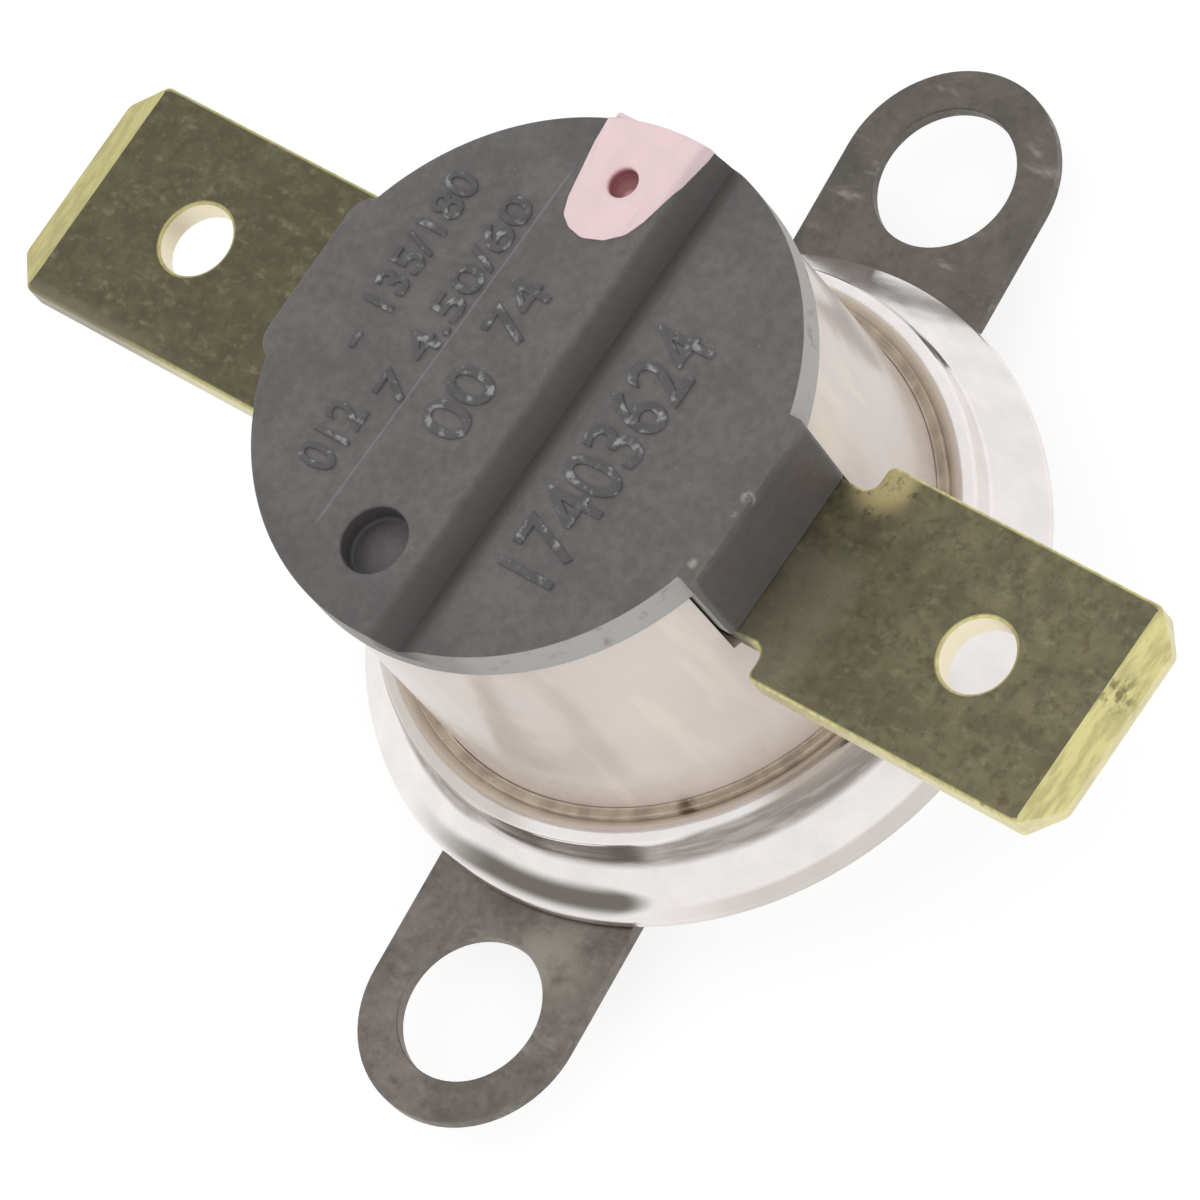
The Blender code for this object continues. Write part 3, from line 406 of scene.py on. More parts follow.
def aluminium_finish(colour):
    """Spun and polished sheet: fine lines round the axis, painted dark reflections on crease, bead,
    rim, flange.
    """
    bench = Finish("spun_aluminium")
    radius, height, bearing = bench.radius(), bench.axis("Z"), bench.bearing()
    valley, crimp = CRIMP_TOP - FOLD_DEPTH, CRIMP_TOP
    rings = bench.node("ShaderNodeCombineXYZ", inputs={"X": radius, "Y": height})
    lines = bench.noise(0.06, 3, 0.6, rings)
    clouds = bench.noise(1.3, 4, 0.6, shift=3)
    uneven = bench.noise(0.5, 3, 0.6, shift=33)
    bench.cloud(clouds, 0.3, 0.75, colour, 0.9)
    # Places on the cup, by height, by distance from the axis and by bearing in degrees.
    outer = radius.fade(7.86, 7.93)
    left = bearing.fade(-92, -102)
    sides = bearing.fade(-58, -44) + left
    higher = height - sides * 0.22
    crease_reflection = outer * (radius - left * 0.12).fade(8.12, 7.96)
    crease_reflection = crease_reflection * higher.band(valley - 0.55, crimp - 0.36, 0.1)
    # Painted dark reflections on the bead and the rim, at the bearings where they show.
    darkened = bearing.fade(-78, -88) * 0.55 + bearing.fade(-38, -28)
    shown = bearing.fade(6, -16) * bearing.fade(-168, -140)
    bead = height.fade(crimp - 0.8, crimp - 0.4) * darkened
    rim = radius.fade(8.8, 8.9) * bearing.fade(-64, -40) * height.band(1.95, 2.6, 0.03)
    # Painted dark reflection on the flange: a curved stroke with a round end.
    middle = bearing.fade(-106, -90) * -0.2 + 8.92
    dark_patch = abs(radius - middle).fade(0.36, 0.1)
    end = bearing + (radius - middle) * (radius - middle) * 70
    dark_patch = dark_patch * bearing.fade(-114, -90) * end.fade(-59, -65) * height.fade(2.1, 2.35)
    # Painted dark reflection that runs in streaks along the crease, and sealant smeared over the
    # lip.
    sockets = {"X": radius, "Y": height, "Z": bearing * 0.03}
    tracks = bench.node("ShaderNodeCombineXYZ", inputs=sockets)
    streaks = bench.noise(0.3, 3, 0.6, tracks).fade(0.36, 0.6)
    film = crease_reflection * (0.42 + uneven.fade(0.0, 0.4) * 0.18 + streaks * 0.28 + sides * 0.12) * shown
    smear = radius.fade(7.66, 7.5) * height.fade(crimp - 0.7, crimp - 0.5)
    # Painted dark reflections on the bead, rim, crease and flange, then the sealant smear.
    bench.paint(bead * 0.85 * shown, (0.38, 0.33, 0.27))
    bench.paint(rim * 0.6 * shown, (0.5, 0.46, 0.41))
    bench.paint(film, (0.31, 0.285, 0.26))
    bench.paint(dark_patch, (0.17, 0.155, 0.135))
    bench.paint(smear * 0.9, (0.78, 0.7, 0.6))
    roughness = 0.12 + lines * 0.05 + film * 0.25 + dark_patch * 0.15 + smear * 0.35
    roughness = roughness + clouds.fade(0.5, 0.8) * 0.07
    relief = bench.bump(lines, 0.0015)
    relief = bench.bump(bench.noise(1.6, 2, shift=5), 0.02, relief)
    return bench.finish(roughness, relief, Metallic=1 - smear * 0.85)


def brass_finish(colour, bright):
    """Aged rolled brass: mottled olive faces, rubbed bright coined edges, painted light near the
    cover.
    """
    bench = Finish("aged_brass")
    x = bench.axis("X")
    blotches = bench.noise(0.9, 4, 0.62, shift=4)
    mottle = bench.noise(0.3, 5, 0.7, shift=24)
    green = bench.noise(0.5, 3, 0.6, shift=44)
    flecks = bench.noise(0.3, 3, 0.6, bench.stretched((1.5, 0.8, 1)), shift=9)
    bench.cloud(blotches, 0.34, 0.68, colour, 0.72, 1.08)
    bench.paint(x.fade(1, -1) * 0.62, (0.085, 0.072, 0.042))
    bench.paint(green.fade(0.42, 0.66) * 0.4, (0.16, 0.175, 0.085))
    bench.paint(mottle.fade(0.5, 0.34) * 0.55, (0.1, 0.08, 0.05))
    pale = flecks.fade(0.48, 0.72) * mottle.fade(0.4, 0.65)
    bench.paint(pale * 0.45, (0.36, 0.33, 0.2))
    # Bright where the coined edges slope, outside the cover.
    sloped = bench.facing("Z").fade(0.99, 0.972)
    outside = abs(x).fade(7.1, 7.6)
    rubbed = sloped * outside * bench.noise(0.4, 4, 0.6, shift=16).fade(0.1, 0.35)
    streaks = bench.noise(0.3, 3, 0.6, bench.stretched((0.6, 3, 1)), shift=52)
    edge_shade = bench.mix(streaks.fade(0.35, 0.62), darker(bright, 0.74), bright)
    edge_shade = bench.mix(x.fade(1, -1) * 0.4, edge_shade, (0.35, 0.32, 0.14))
    # Painted light near the cover, a golden patch, bright in the tab holes, darker on one long
    # edge.
    near = x.band(7.0, 9.0, 0.6) * bench.axis("Y").band(-3.2, 0.5, 0.5)
    bench.paint(near * 0.45, (0.34, 0.32, 0.23))
    golden_patch = bench.spot(8.0, 2.7, 10, 0.4, 1.2) * mottle.fade(0.3, 0.5)
    bench.paint(golden_patch * 0.75, (0.72, 0.6, 0.3))
    walls = bench.facing("Z").fade(0.5, 0.2)
    bench.paint(rubbed, edge_shade)
    bench.paint(walls * outside * 0.5, (0.8, 0.74, 0.5))
    hole = bench.spot(TAB_HOLE_X, 0, 9.6, 1.1, 1.2) + bench.spot(-TAB_HOLE_X, 0, 9.6, 1.1, 1.2)
    bench.paint(hole * walls * 0.8, (0.92, 0.84, 0.66))
    dim = x.fade(-10, -14) * x.fade(-16.4, -16.2) * bench.axis("Y").fade(-2.6, -2.95)
    bench.paint(dim * 0.85, (0.2, 0.18, 0.12))
    nick = bench.noise(0.2, 2, 0.5, bench.stretched((0.8, 1.6, 1)), shift=31).fade(0.42, 0.62)
    nick = nick * bench.spot(16.65, 0.75, 9.9, 0.2, 0.7)
    bench.paint(nick * sloped * 0.75, (0.13, 0.11, 0.05))
    roughness = 0.46 + mottle * 0.16 - rubbed * 0.16
    relief = bench.bump(bench.noise(0.12, 3, 0.6, bench.stretched((2.5, 1, 1)), shift=2), 0.004)
    relief = bench.bump(mottle.fade(0.4, 0.25), -0.004, relief)
    return bench.finish(roughness, relief, Metallic=0.7)


def steel_finish(colour):
    """Dull zinc plate with brown clouds, a few painted pale glints and one painted highlight."""
    bench = Finish("dull_plate")
    clouds = bench.noise(1.5, 4, 0.6, shift=2)
    mottle = bench.noise(0.25, 4, 0.65, shift=13)
    bench.cloud(clouds, 0.33, 0.7, colour, 0.8, 1.15)
    bench.paint(mottle.fade(0.45, 0.75) * 0.35, darker(colour, 1.7))
    bench.paint(mottle.fade(0.45, 0.25) * 0.5, (0.08, 0.072, 0.058))
    bench.paint(bench.noise(2.2, 3, shift=36).fade(0.5, 0.66) * 0.4, (0.1, 0.092, 0.08))
    bench.paint(bench.axis("Y").fade(2, 9) * 0.45, (0.085, 0.08, 0.074))
    # Painted glints, and a painted highlight near one ear's screw hole.
    glints = bench.noise(0.8, 3, 0.6, bench.stretched((2.2, 0.8, 1), 0.4), shift=28)
    bench.paint(glints.fade(0.58, 0.74) * 0.5, (0.42, 0.39, 0.34))
    bright = bench.spot(2.3, -9.9, 1.84, 0.2, 1.7) * clouds.fade(0.3, 0.5)
    bench.paint(bright * 0.6, (0.42, 0.39, 0.34))
    roughness = 0.38 + clouds * 0.16
    relief = bench.bump(bench.noise(0.14, 3, shift=6), 0.004)
    return bench.finish(roughness, relief, Metallic=1.0)


def sealant_finish(colour):
    """Baked sealing compound: pale brown, uneven, with one dark scorched spot."""
    bench = Finish("baked_sealant")
    clouds = bench.noise(0.6, 4, 0.6, shift=3)
    bench.cloud(clouds, 0.32, 0.7, colour, 0.72, 1.1)
    spot = bench.spot(4.72, -5.42, 4.15, 0.12, 0.36) * bench.noise(0.2, 3, shift=13).fade(0.3, 0.45)
    bench.paint(spot * 0.9, (0.1, 0.06, 0.035))
    relief = bench.bump(bench.noise(0.25, 3, shift=8), 0.02)
    return bench.finish(0.4 + clouds * 0.25, relief)


def sheet_metal_finish(name, colour, roughness, grain):
    """Metal of the inner works, with lines along its grain and slight staining."""
    bench = Finish(name)
    lines = bench.noise(0.08, 3, 0.6, bench.stretched(grain))
    clouds = bench.noise(0.9, 3, shift=5)
    bench.cloud(clouds, 0.35, 0.7, colour, 0.85)
    bench.paint(lines * 0.3, darker(colour, 0.7))
    relief = bench.bump(lines, 0.002)
    return bench.finish(roughness + lines * 0.1, relief, Metallic=1.0)


def resin_finish():
    bench = Finish("moulded_resin")
    clouds = bench.noise(0.7, 4, shift=5)
    bench.shade = bench.mix(clouds.fade(0.35, 0.68), (0.15, 0.09, 0.055), (0.24, 0.15, 0.09))
    return bench.finish(0.45 + clouds * 0.15, bench.bump(bench.noise(0.12, 3), 0.008))


def pick_none():
    bpy.ops.object.select_all(action="DESELECT")


def pick(*objects):
    """Selects these and nothing else, the first one active."""
    pick_none()
    for obj in objects:
        obj.select_set(True)
    bpy.context.view_layer.objects.active = objects[0]


def settle():
    """Puts the place, turn and size of the picked object into its mesh."""
    bpy.ops.object.transform_apply(location=True, rotation=True, scale=True)


def take_all():
    bpy.ops.mesh.select_all(action="SELECT")


def extrude(way):
    bpy.ops.mesh.extrude_region_move(TRANSFORM_OT_translate={"value": way})


def call_it(obj, name):
    obj.name = name
    obj.data.name = name
    return obj


def modify(obj, kind, **settings):
    """Adds a modifier to the picked object, sets it and applies it."""
    bpy.ops.object.modifier_add(type=kind)
    step = obj.modifiers[-1]
    for name, value in settings.items():
        setattr(step, name, value)
    bpy.ops.object.modifier_apply(modifier=step.name)


def copy_of(obj, name):
    """A copy with its own mesh, free of what the first one rides on and stands for."""
    pick(obj)
    bpy.ops.object.duplicate()
    made = call_it(bpy.context.object, name)
    for key in list(made.keys()):
        del made[key]
    bpy.ops.object.parent_clear(type="CLEAR_KEEP_TRANSFORM")
    settle()
    return made


def open_mesh(obj):
    pick(obj)
    bpy.ops.object.mode_set(mode="EDIT")
    bpy.ops.mesh.select_mode(type="VERT")


def choose(parts, test):
    """In the open mesh, selects the verts, edges or faces that pass the test."""
    mesh = bpy.context.edit_object.data
    bpy.ops.mesh.select_mode(type={"verts": "VERT", "edges": "EDGE", "faces": "FACE"}[parts])
    bpy.ops.mesh.select_all(action="DESELECT")
    shape = bmesh.from_edit_mesh(mesh)
    for part in getattr(shape, parts):
        if test(part):
            part.select_set(True)
    bmesh.update_edit_mesh(mesh)


def close_mesh(obj, outwards=True):
    """Merges doubles, points the faces outwards and puts the object's place into its mesh."""
    take_all()
    bpy.ops.mesh.remove_doubles(threshold=MERGED)
    if outwards:
        bpy.ops.mesh.normals_make_consistent(inside=False)
    bpy.ops.object.mode_set(mode="OBJECT")
    pick(obj)
    settle()
    return obj


def smooth(obj, degrees=35):
    """Smooth shading that keeps flat faces flat and corners sharp."""
    pick(obj)
    bpy.ops.object.shade_smooth_by_angle(angle=math.radians(degrees))
    modify(obj, "WEIGHTED_NORMAL", keep_sharp=True)
    return obj


def round_corner(origin, before, corner, after, radius):
    half = (before - corner).angle(after - corner) / 2
    nearly_straight = math.pi / 2 - 0.02
    if radius <= 0 or half > nearly_straight:
        return
    # Short of half a side, so that two roundings never meet.
    limit = 0.49 * min((before - corner).length, (after - corner).length)
    reach = min(radius / math.tan(half), limit)
    choose("verts", lambda vert: (origin + vert.co - corner).length < NEAR)
    bpy.ops.mesh.bevel(offset=reach, offset_type="OFFSET", segments=6, affect="VERTICES")


def draw_outline(name, corners, upright=True, closed=True):
    """Draws a line through (across, up, round) corners in millimetres, and leaves its mesh open.

    An upright outline stands in the XZ plane, another one lies in the XY plane at height 0.
    One that isn't closed starts and ends on the upright axis."""
    places = [(across, 0, up) if upright else (across, up, 0) for across, up, _ in corners]
    points = [Vector(place) * MM for place in places]
    pick_none()
    bpy.ops.mesh.primitive_plane_add(size=MM, location=points[0])
    obj = call_it(bpy.context.object, name)
    bpy.ops.object.mode_set(mode="EDIT")
    bpy.ops.mesh.select_mode(type="VERT")
    take_all()
    bpy.ops.mesh.merge(type="CENTER")
    for start, end in zip(points, points[1:]):
        extrude(end - start)
    ends = (points[0], points[-1])
    choose("verts", lambda vert: any((points[0] + vert.co - end).length < NEAR for end in ends))
    bpy.ops.mesh.edge_face_add()
    take_all()
    bpy.ops.mesh.edge_face_add()
    for index, (_, _, radius) in enumerate(corners):
        after = points[(index + 1) % len(points)]
        round_corner(points[0], points[index - 1], points[index], after, radius * MM)
    take_all()
    bpy.ops.mesh.delete(type="ONLY_FACE")
    if not closed:
        axis = -points[0].x
        choose("edges", lambda edge: all(abs(vert.co.x - axis) < ON_AXIS for vert in edge.verts))
        bpy.ops.mesh.delete(type="EDGE")
    return obj


def turned(name, corners, closed=False, steps=TURN_STEPS):
    """A body of revolution about the upright axis."""
    obj = draw_outline(name, corners, closed=closed)
    take_all()
    bpy.ops.mesh.spin(steps=steps, angle=math.tau, center=(0, 0, 0), axis=(0, 0, 1))
    return close_mesh(obj)


def hole_loop(x, y, radius, steps):
    """A round hole's edge, drawn flat at height 0."""
    pick_none()
    place = (x * MM, y * MM, 0)
    bpy.ops.mesh.primitive_circle_add(vertices=steps, radius=radius * MM, location=place)
    settle()
    return bpy.context.object


def inset_in_steps(edge):
    """Carries the selected flat faces up over a rounded edge."""
    steps = 4
    for step in range(steps):
        start, end = math.radians(90 * step / steps), math.radians(90 * (step + 1) / steps)
        inwards = edge * (math.cos(start) - math.cos(end))
        upwards = edge * (math.sin(end) - math.sin(start))
        bpy.ops.mesh.inset(thickness=inwards, depth=upwards, use_even_offset=True)


def stamped(name, corners, low, high, holes=(), edge=0.0):
    """A flat outline with round holes, given a thickness and softly rounded edges."""
    obj = draw_outline(name, corners, upright=False)
    bpy.ops.object.mode_set(mode="OBJECT")
    pick(obj)
    settle()
    loops = [hole_loop(*hole) for hole in holes]
    pick(obj, *loops)
    if loops:
        bpy.ops.object.join()
    open_mesh(obj)
    take_all()
    bpy.ops.mesh.fill(use_beauty=True)
    take_all()
    bpy.ops.transform.translate(value=(0, 0, low * MM + edge))
    extrude((0, 0, (high - low) * MM - 2 * edge))
    take_all()
    bpy.ops.mesh.normals_make_consistent(inside=False)
    if edge:
        for side in (1, -1):
            choose("faces", lambda face: face.normal.z * side > 0.9)
            inset_in_steps(edge)
    return close_mesh(obj)


def block(name, low, high):
    pick_none()
    low, high = Vector(low) * MM, Vector(high) * MM
    bpy.ops.mesh.primitive_cube_add(size=1, location=(low + high) / 2, scale=high - low)
    settle()
    return call_it(bpy.context.object, name)


def pin(name, x, y, radius, low, high, steps=48):
    pick_none()
    place = (x * MM, y * MM, (low + high) / 2 * MM)
    bpy.ops.mesh.primitive_cylinder_add(
        vertices=steps, radius=radius * MM, depth=(high - low) * MM, location=place
    )
    settle()
    return call_it(bpy.context.object, name)


def combine(obj, tool, operation="DIFFERENCE"):
    """Cuts, joins or trims with another solid, which is used up."""
    pick(obj)
    modify(obj, "BOOLEAN", operation=operation, object=tool, solver="EXACT")
    bpy.data.objects.remove(tool)
    return obj


def soften(obj, width, degrees=40, segments=3):
    """Rounds the edges that are sharper than so many degrees."""
    sharp = math.radians(degrees)
    open_mesh(obj)
    choose("edges", lambda edge: len(edge.link_faces) == 2 and edge.calc_face_angle(0) > sharp)
    bpy.ops.mesh.bevel(offset=width, offset_type="OFFSET", segments=segments, clamp_overlap=True)
    return close_mesh(obj, outwards=False)


def coat(obj, finish):
    obj.data.materials.clear()
    obj.data.materials.append(finishes()[finish])


def wear(obj, slot, finish, *nodes, body="switch_body"):
    """Gives a piece its finish and its body and hides the nodes it stands for; the slot is not
    used.
    """
    coat(obj, finish)
    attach(obj, body)
    if nodes:
        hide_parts(*nodes)


def finishes():
    """All materials by name. Those of the outer pieces are made at the first call."""
    made = bpy.data.materials
    colours = bpy.context.scene.thermostat_colours
    if "moulded_phenolic" not in made:
        phenolic_finish(colours.phenolic)
        lacquer_finish(colours.lacquer)
        ceramic_finish(colours.ceramic)
        aluminium_finish(colours.aluminium)
        brass_finish(colours.brass, colours.bright_brass)
        steel_finish(colours.steel)
        sealant_finish(colours.sealant)
    return made


class FormCup(Operator):
    """Turn the aluminium sensing cup with its crimped rim, flange and bead"""

    bl_idname = "thermostat.form_cup"
    bl_label = "Sensing cup"

    def execute(self, context):
        sizes = context.scene.thermostat_sizes
        wall = sizes.cup_radius / MM
        bore = sizes.cup_bore / MM
        top = sizes.crimp_height / MM
        edge = sizes.flange_radius / MM + 0.07
        under = sizes.flange_under / MM
        lip = SEAL_HIGH.x / MM + 0.1
        sheet, seat = 0.4, 0.8
        foot = top - 0.62
        bead, half_bead = under - 0.82, 0.3
        corners = [
            (0, sheet, 0),
            (bore - 1.35, sheet, 0.15),
            (bore - 1.35, seat, 0.03),
            (bore, seat, 0),
            (bore, under + sheet, 0),
            (bore + 0.84, under + sheet, 0),
            (bore, under + FOLD_DEPTH, 0),
            (bore, foot, 0),
            (lip, foot, 0.04),
            (lip, top - 0.3, 0.1),
            ((lip + wall) / 2, top, 0.5),
            (wall, top - 0.15, 0.45),
            (wall, top - FOLD_DEPTH, 0.3),
            (edge, under + 0.24, 0.2),
            (edge, under, 0.1),
            (wall, under, 0.06),
            (wall, bead + half_bead, 0.05),
            (wall + 0.24, bead, 0.15),
            (wall, bead - half_bead, 0.05),
            (wall, 0, 0.45),
            (0, 0, 0),
        ]
        cup = turned("formed_cup", corners)
        wear(smooth(cup), "polished_aluminium", "spun_aluminium", "sensing_cup")
        return {"FINISHED"}


class FormBody(Operator):
    """Turn the ceramic body and cut its terminal slots"""

    bl_idname = "thermostat.form_body"
    bl_label = "Ceramic body"

    def execute(self, context):
        sizes = context.scene.thermostat_sizes
        wall = sizes.body_radius / MM
        foot = sizes.foot_radius / MM
        foot_top = sizes.foot_top / MM
        top = BODY_HIGH.z / MM
        low = BODY_LOW.z / MM
        cavity, socket, shaft = wall - 1.3, foot - 1.4, 1.1
        ceiling, floor = low + 2.4, low + 3.9
        slot_foot = top - 2.85
        corners = [
            (cavity, top, 0.1),
            (wall, top, 0.12),
            (wall, foot_top, 0),
            (foot, foot_top, 0.12),
            (foot, low, 0.12),
            (socket, low, 0.1),
            (socket, ceiling, 0.15),
            (shaft, ceiling, 0.05),
            (shaft, floor, 0.05),
            (cavity, floor, 0.15),
        ]
        body = turned("glazed_body", corners, closed=True)
        for side in (1, -1):
            ends = sorted((side * 3.0, side * 5.86))
            ledge = block("ledge", (ends[0], -2.3, low + 3.5), (ends[1], 2.3, slot_foot))
            combine(body, ledge, "UNION")
        reach = sizes.tongue_width / MM / 2 + 0.08
        combine(body, block("slot", (-20, -reach, slot_foot), (20, reach, top + 3)))
        for side in (1, -1):
            combine(body, pin("bore", side * RIVET_X, 0, RIVET_BORE, low, top))
        soften(body, 0.07 * MM, 50, 2)
        wear(smooth(body), "cream_ceramic", "glazed_ceramic", "base_body")
        return {"FINISHED"}


class RunSeal(Operator):
    """Lay the sealing compound into the seam between body and cup"""

    bl_idname = "thermostat.run_seal"
    bl_label = "Seam seal"

    def execute(self, context):
        inner = context.scene.thermostat_sizes.body_radius / MM + 0.02
        outer = SEAL_HIGH.x / MM + 0.13
        low = SEAL_LOW.z / MM
        top = SEAL_HIGH.z / MM
        corners = [
            (inner, top + 0.12, 0),
            (inner + 0.05, top + 0.09, 0.03),
            (outer, CRIMP_TOP - 0.03, 0.03),
            (outer, low, 0),
            (inner, low, 0),
        ]
        seal = turned("baked_seal", corners, closed=True)
        wear(smooth(seal), "brown_sealant", "baked_sealant", "seam_seal")
        return {"FINISHED"}


def groove_tool(left, deepest, right, top, depth, lip):
    """A long V-shaped cutter along Y, its mouth rounded out to meet the surface softly."""
    corners = [
        (left - 1.0, top + 0.04, 0),
        (left, top, lip),
        (deepest, top - depth, lip),
        (right, top, 0.5),
        (right + 1.0, top + 0.04, 0),
        (right + 1.0, top + 1.0, 0),
        (left - 1.0, top + 1.0, 0),
    ]
    obj = draw_outline("groove", corners)
    take_all()
    bpy.ops.mesh.edge_face_add()
    bpy.ops.transform.translate(value=(0, -0.02, 0))
    extrude((0, 0.04, 0))
    return close_mesh(obj)


def recess_tool(x, y, radius, top, depth, lip):
    """A round cutter with a soft foot and a mouth rounded out to the surface."""
    corners = [
        (0, top - depth, 0),
        (radius, top - depth, lip),
        (radius, top, lip),
        (radius + 0.3, top + 0.02, 0),
        (radius + 0.3, top + 1.0, 0),
        (0, top + 1.0, 0),
    ]
    tool = turned("recess", corners, steps=72)
    tool.location = (x * MM, y * MM, 0)
    pick(tool)
    settle()
    return tool


class MouldCover(Operator):
    """Mould the dark cover with its tongues, key, groove and recesses"""

    bl_idname = "thermostat.mould_cover"
    bl_label = "Moulded cover"

    def execute(self, context):
        sizes = context.scene.thermostat_sizes
        radius = sizes.cover_radius / MM
        under = sizes.cover_under / MM
        top = COVER_TOP
        spigot, wall, drop = 5.6, 0.7, 0.8
        corners = [
            (0, top, 0),
            (radius, top, sizes.cover_rim / MM),
            (radius, under, 0.08),
            (spigot, under, 0),
            (spigot, under - drop, 0.1),
            (spigot - wall, under - drop, 0.1),
            (spigot - wall, under, 0),
            (0, under, 0),
        ]
        cover = turned("moulded_cover", corners)
        face = sizes.tongue_face / MM
        half = sizes.tongue_width / MM / 2
        low = BLADE_HIGH.z / MM + 0.015
        root = face - 1.3
        for side, bend, set_back in ((1, 0.15, sizes.tongue_set), (-1, 1.0, 0)):
            corners = [(root, -half, 0), (face, -half, bend), (face, half, bend), (root, half, 0)]
            corners = [(side * across, side * along, curve) for across, along, curve in corners]
            tongue = stamped("tongue", corners, low, top - 0.012, edge=0.05 * MM)
            open_mesh(tongue)
            choose("verts", lambda vert: vert.co.z < (low + 1) * MM)
            bpy.ops.transform.translate(value=(-side * set_back, 0, 0))
            combine(cover, close_mesh(tongue), "UNION")
        key = block("key", (-2.3, 0, under + 0.02), (0.6, radius - 0.2, top - 0.02))
        combine(cover, soften(key, 0.07 * MM), "UNION")
        combine(cover, groove_tool(0.42, 1.15, 1.9, top, depth=0.36, lip=0.05))
        combine(cover, recess_tool(RECESS_X, 2.13 - radius, 0.88, top, depth=0.62, lip=0.1))
        combine(cover, recess_tool(RECESS_X, radius - 1.7, 0.44, top, depth=0.4, lip=0.06))
        wear(smooth(cover), "dark_phenolic", "moulded_phenolic", "top_cover")
        return {"FINISHED"}


class BrushLacquer(Operator):
    """Brush the pale lacquer over the small recess and out to the rim"""

    bl_idname = "thermostat.brush_lacquer"
    bl_label = "Lacquer spot"

    def execute(self, context):
        film = context.scene.thermostat_sizes.lacquer_film
        corners = [
            (-2.44, 8.0, 0), (-2.42, 6.9, 0.1), (-2.34, 6.04, 0.2), (-2.18, 5.2, 0.3),
            (-2.05, 4.55, 0.3), (-1.88, 4.12, 0.25), (-1.55, 3.9, 0.3), (-1.08, 3.81, 0.4),
            (-0.51, 4.0, 0.4), (-0.07, 4.37, 0.4), (0.14, 4.83, 0.4), (0.3, 5.45, 0.4),
            (0.47, 6.05, 0.3), (0.6, 6.9, 0.1), (0.66, 8.0, 0),
        ]
        brush = stamped("brush", corners, COVER_TOP - 0.62, COVER_TOP + 0.5)
        spot = copy_of(bpy.data.objects["moulded_cover"], "lacquer_spot")
        combine(spot, brush, "INTERSECT")
        modify(spot, "DISPLACE", strength=film, mid_level=0)
        soften(spot, 0.03 * MM, 50, 3)
        wear(smooth(spot), None, "pink_lacquer")
        return {"FINISHED"}


def characters(words, base, cap, start, end, rise):
    """One row of raised characters along the groove, fitted into its base, cap, start and end."""
    pick_none()
    bpy.ops.object.text_add(location=(0, 0, 0), rotation=(0, 0, math.pi / 2))
    row = bpy.context.object
    row.data.body = words
    cap_share = 0.7
    row.data.size = (base - cap) / cap_share * MM
    row.data.extrude = rise
    row.data.bevel_depth = 0.018 * MM
    row.data.bevel_resolution = 1
    bpy.ops.object.convert(target="MESH")
    row = bpy.context.object
    settle()
    lows = [min(vert.co[axis] for vert in row.data.vertices) for axis in (0, 1)]
    highs = [max(vert.co[axis] for vert in row.data.vertices) for axis in (0, 1)]
    wide = (end - start) * MM / (highs[1] - lows[1])
    tall = (base - cap) * MM / (highs[0] - lows[0]) if words != "-" else 1
    row.scale = (tall, wide, 1)
    sunk = COVER_HIGH.z - 0.01 * MM
    row.location = (base * MM - highs[0] * tall, start * MM - lows[1] * wide, sunk)
    open_mesh(row)
    take_all()
    bpy.ops.mesh.dissolve_degenerate(threshold=0.001 * MM)
    return close_mesh(row)


class RaiseCharacters(Operator):
    """Raise rows of plain numbers on the cover"""

    bl_idname = "thermostat.raise_characters"
    bl_label = "Moulded numbers"

    def execute(self, context):
        rise = context.scene.thermostat_sizes.character_rise
        rows = [
            ("-", -4.75, -5.6, -1.2, -0.75),
            ("135/180", -4.4, -5.35, 0.0, 3.9),
            ("012", -3.2, -4.35, -4.2, -2.4),
            ("7 4.50/60", -2.65, -3.55, -1.9, 4.0),
            ("00", -0.55, -1.95, -2.1, -0.2),
            ("74", -0.75, -2.0, 0.7, 2.3),
            ("17403624", 4.05, 2.3, -4.1, 2.95),
        ]
        pick(*[characters(*row, rise) for row in rows])
        bpy.ops.object.join()
        numbers = call_it(bpy.context.object, "moulded_numbers")
        wear(smooth(numbers), "dark_phenolic", "moulded_phenolic")
        return {"FINISHED"}


def taper_tip(side, start, end, middle, share):
    """Thins the open blade towards its tip, evenly from start to end."""
    mesh = bpy.context.edit_object.data
    reaches = sorted({round(side * vert.co.x, 8) for vert in bmesh.from_edit_mesh(mesh).verts})
    for reach in reaches:
        if reach > start + 10 * NEAR:
            thin = 1 - (1 - share) * (reach - start) / (end - start)
            choose("verts", lambda vert: abs(side * vert.co.x - reach) < NEAR)
            bpy.ops.transform.resize(value=(1, 1, thin), center_override=(0, 0, middle))


def blade(name, side, inner, holes, sizes):
    """A stamped blade with a narrow neck, a coined tip and softly broken edges."""
    low, high = BLADE_LOW.z / MM, BLADE_HIGH.z / MM
    thinned = 0.34 / 0.8
    end = BLADE_HIGH.x / MM
    half = BLADE_HIGH.y / MM
    neck = sizes.tongue_width / MM / 2 - 0.1
    shoulder = sizes.body_radius / MM + 0.85
    tip = sizes.blade_tip / MM
    half_side = [
        (inner, neck, 0.3),
        (shoulder, neck, 0.35),
        (shoulder, half, 0.22),
        (end - tip, half, 0.3),
        (end, half - tip, 0.3),
    ]
    corners = [(side * across, -up, radius) for across, up, radius in half_side]
    corners += [(side * across, up, radius) for across, up, radius in reversed(half_side)]
    loops = [(side * across, 0, radius, 72) for across, radius in holes]
    obj = stamped(name, corners, low, high, loops, sizes.blade_edge)
    open_mesh(obj)
    take_all()
    bpy.ops.mesh.bisect(plane_co=(side * (end - tip) * MM, 0, 0), plane_no=(1, 0, 0))
    taper_tip(side, (end - tip) * MM, end * MM, (low + high) / 2 * MM, thinned)
    close_mesh(obj)
    return smooth(obj, 10)


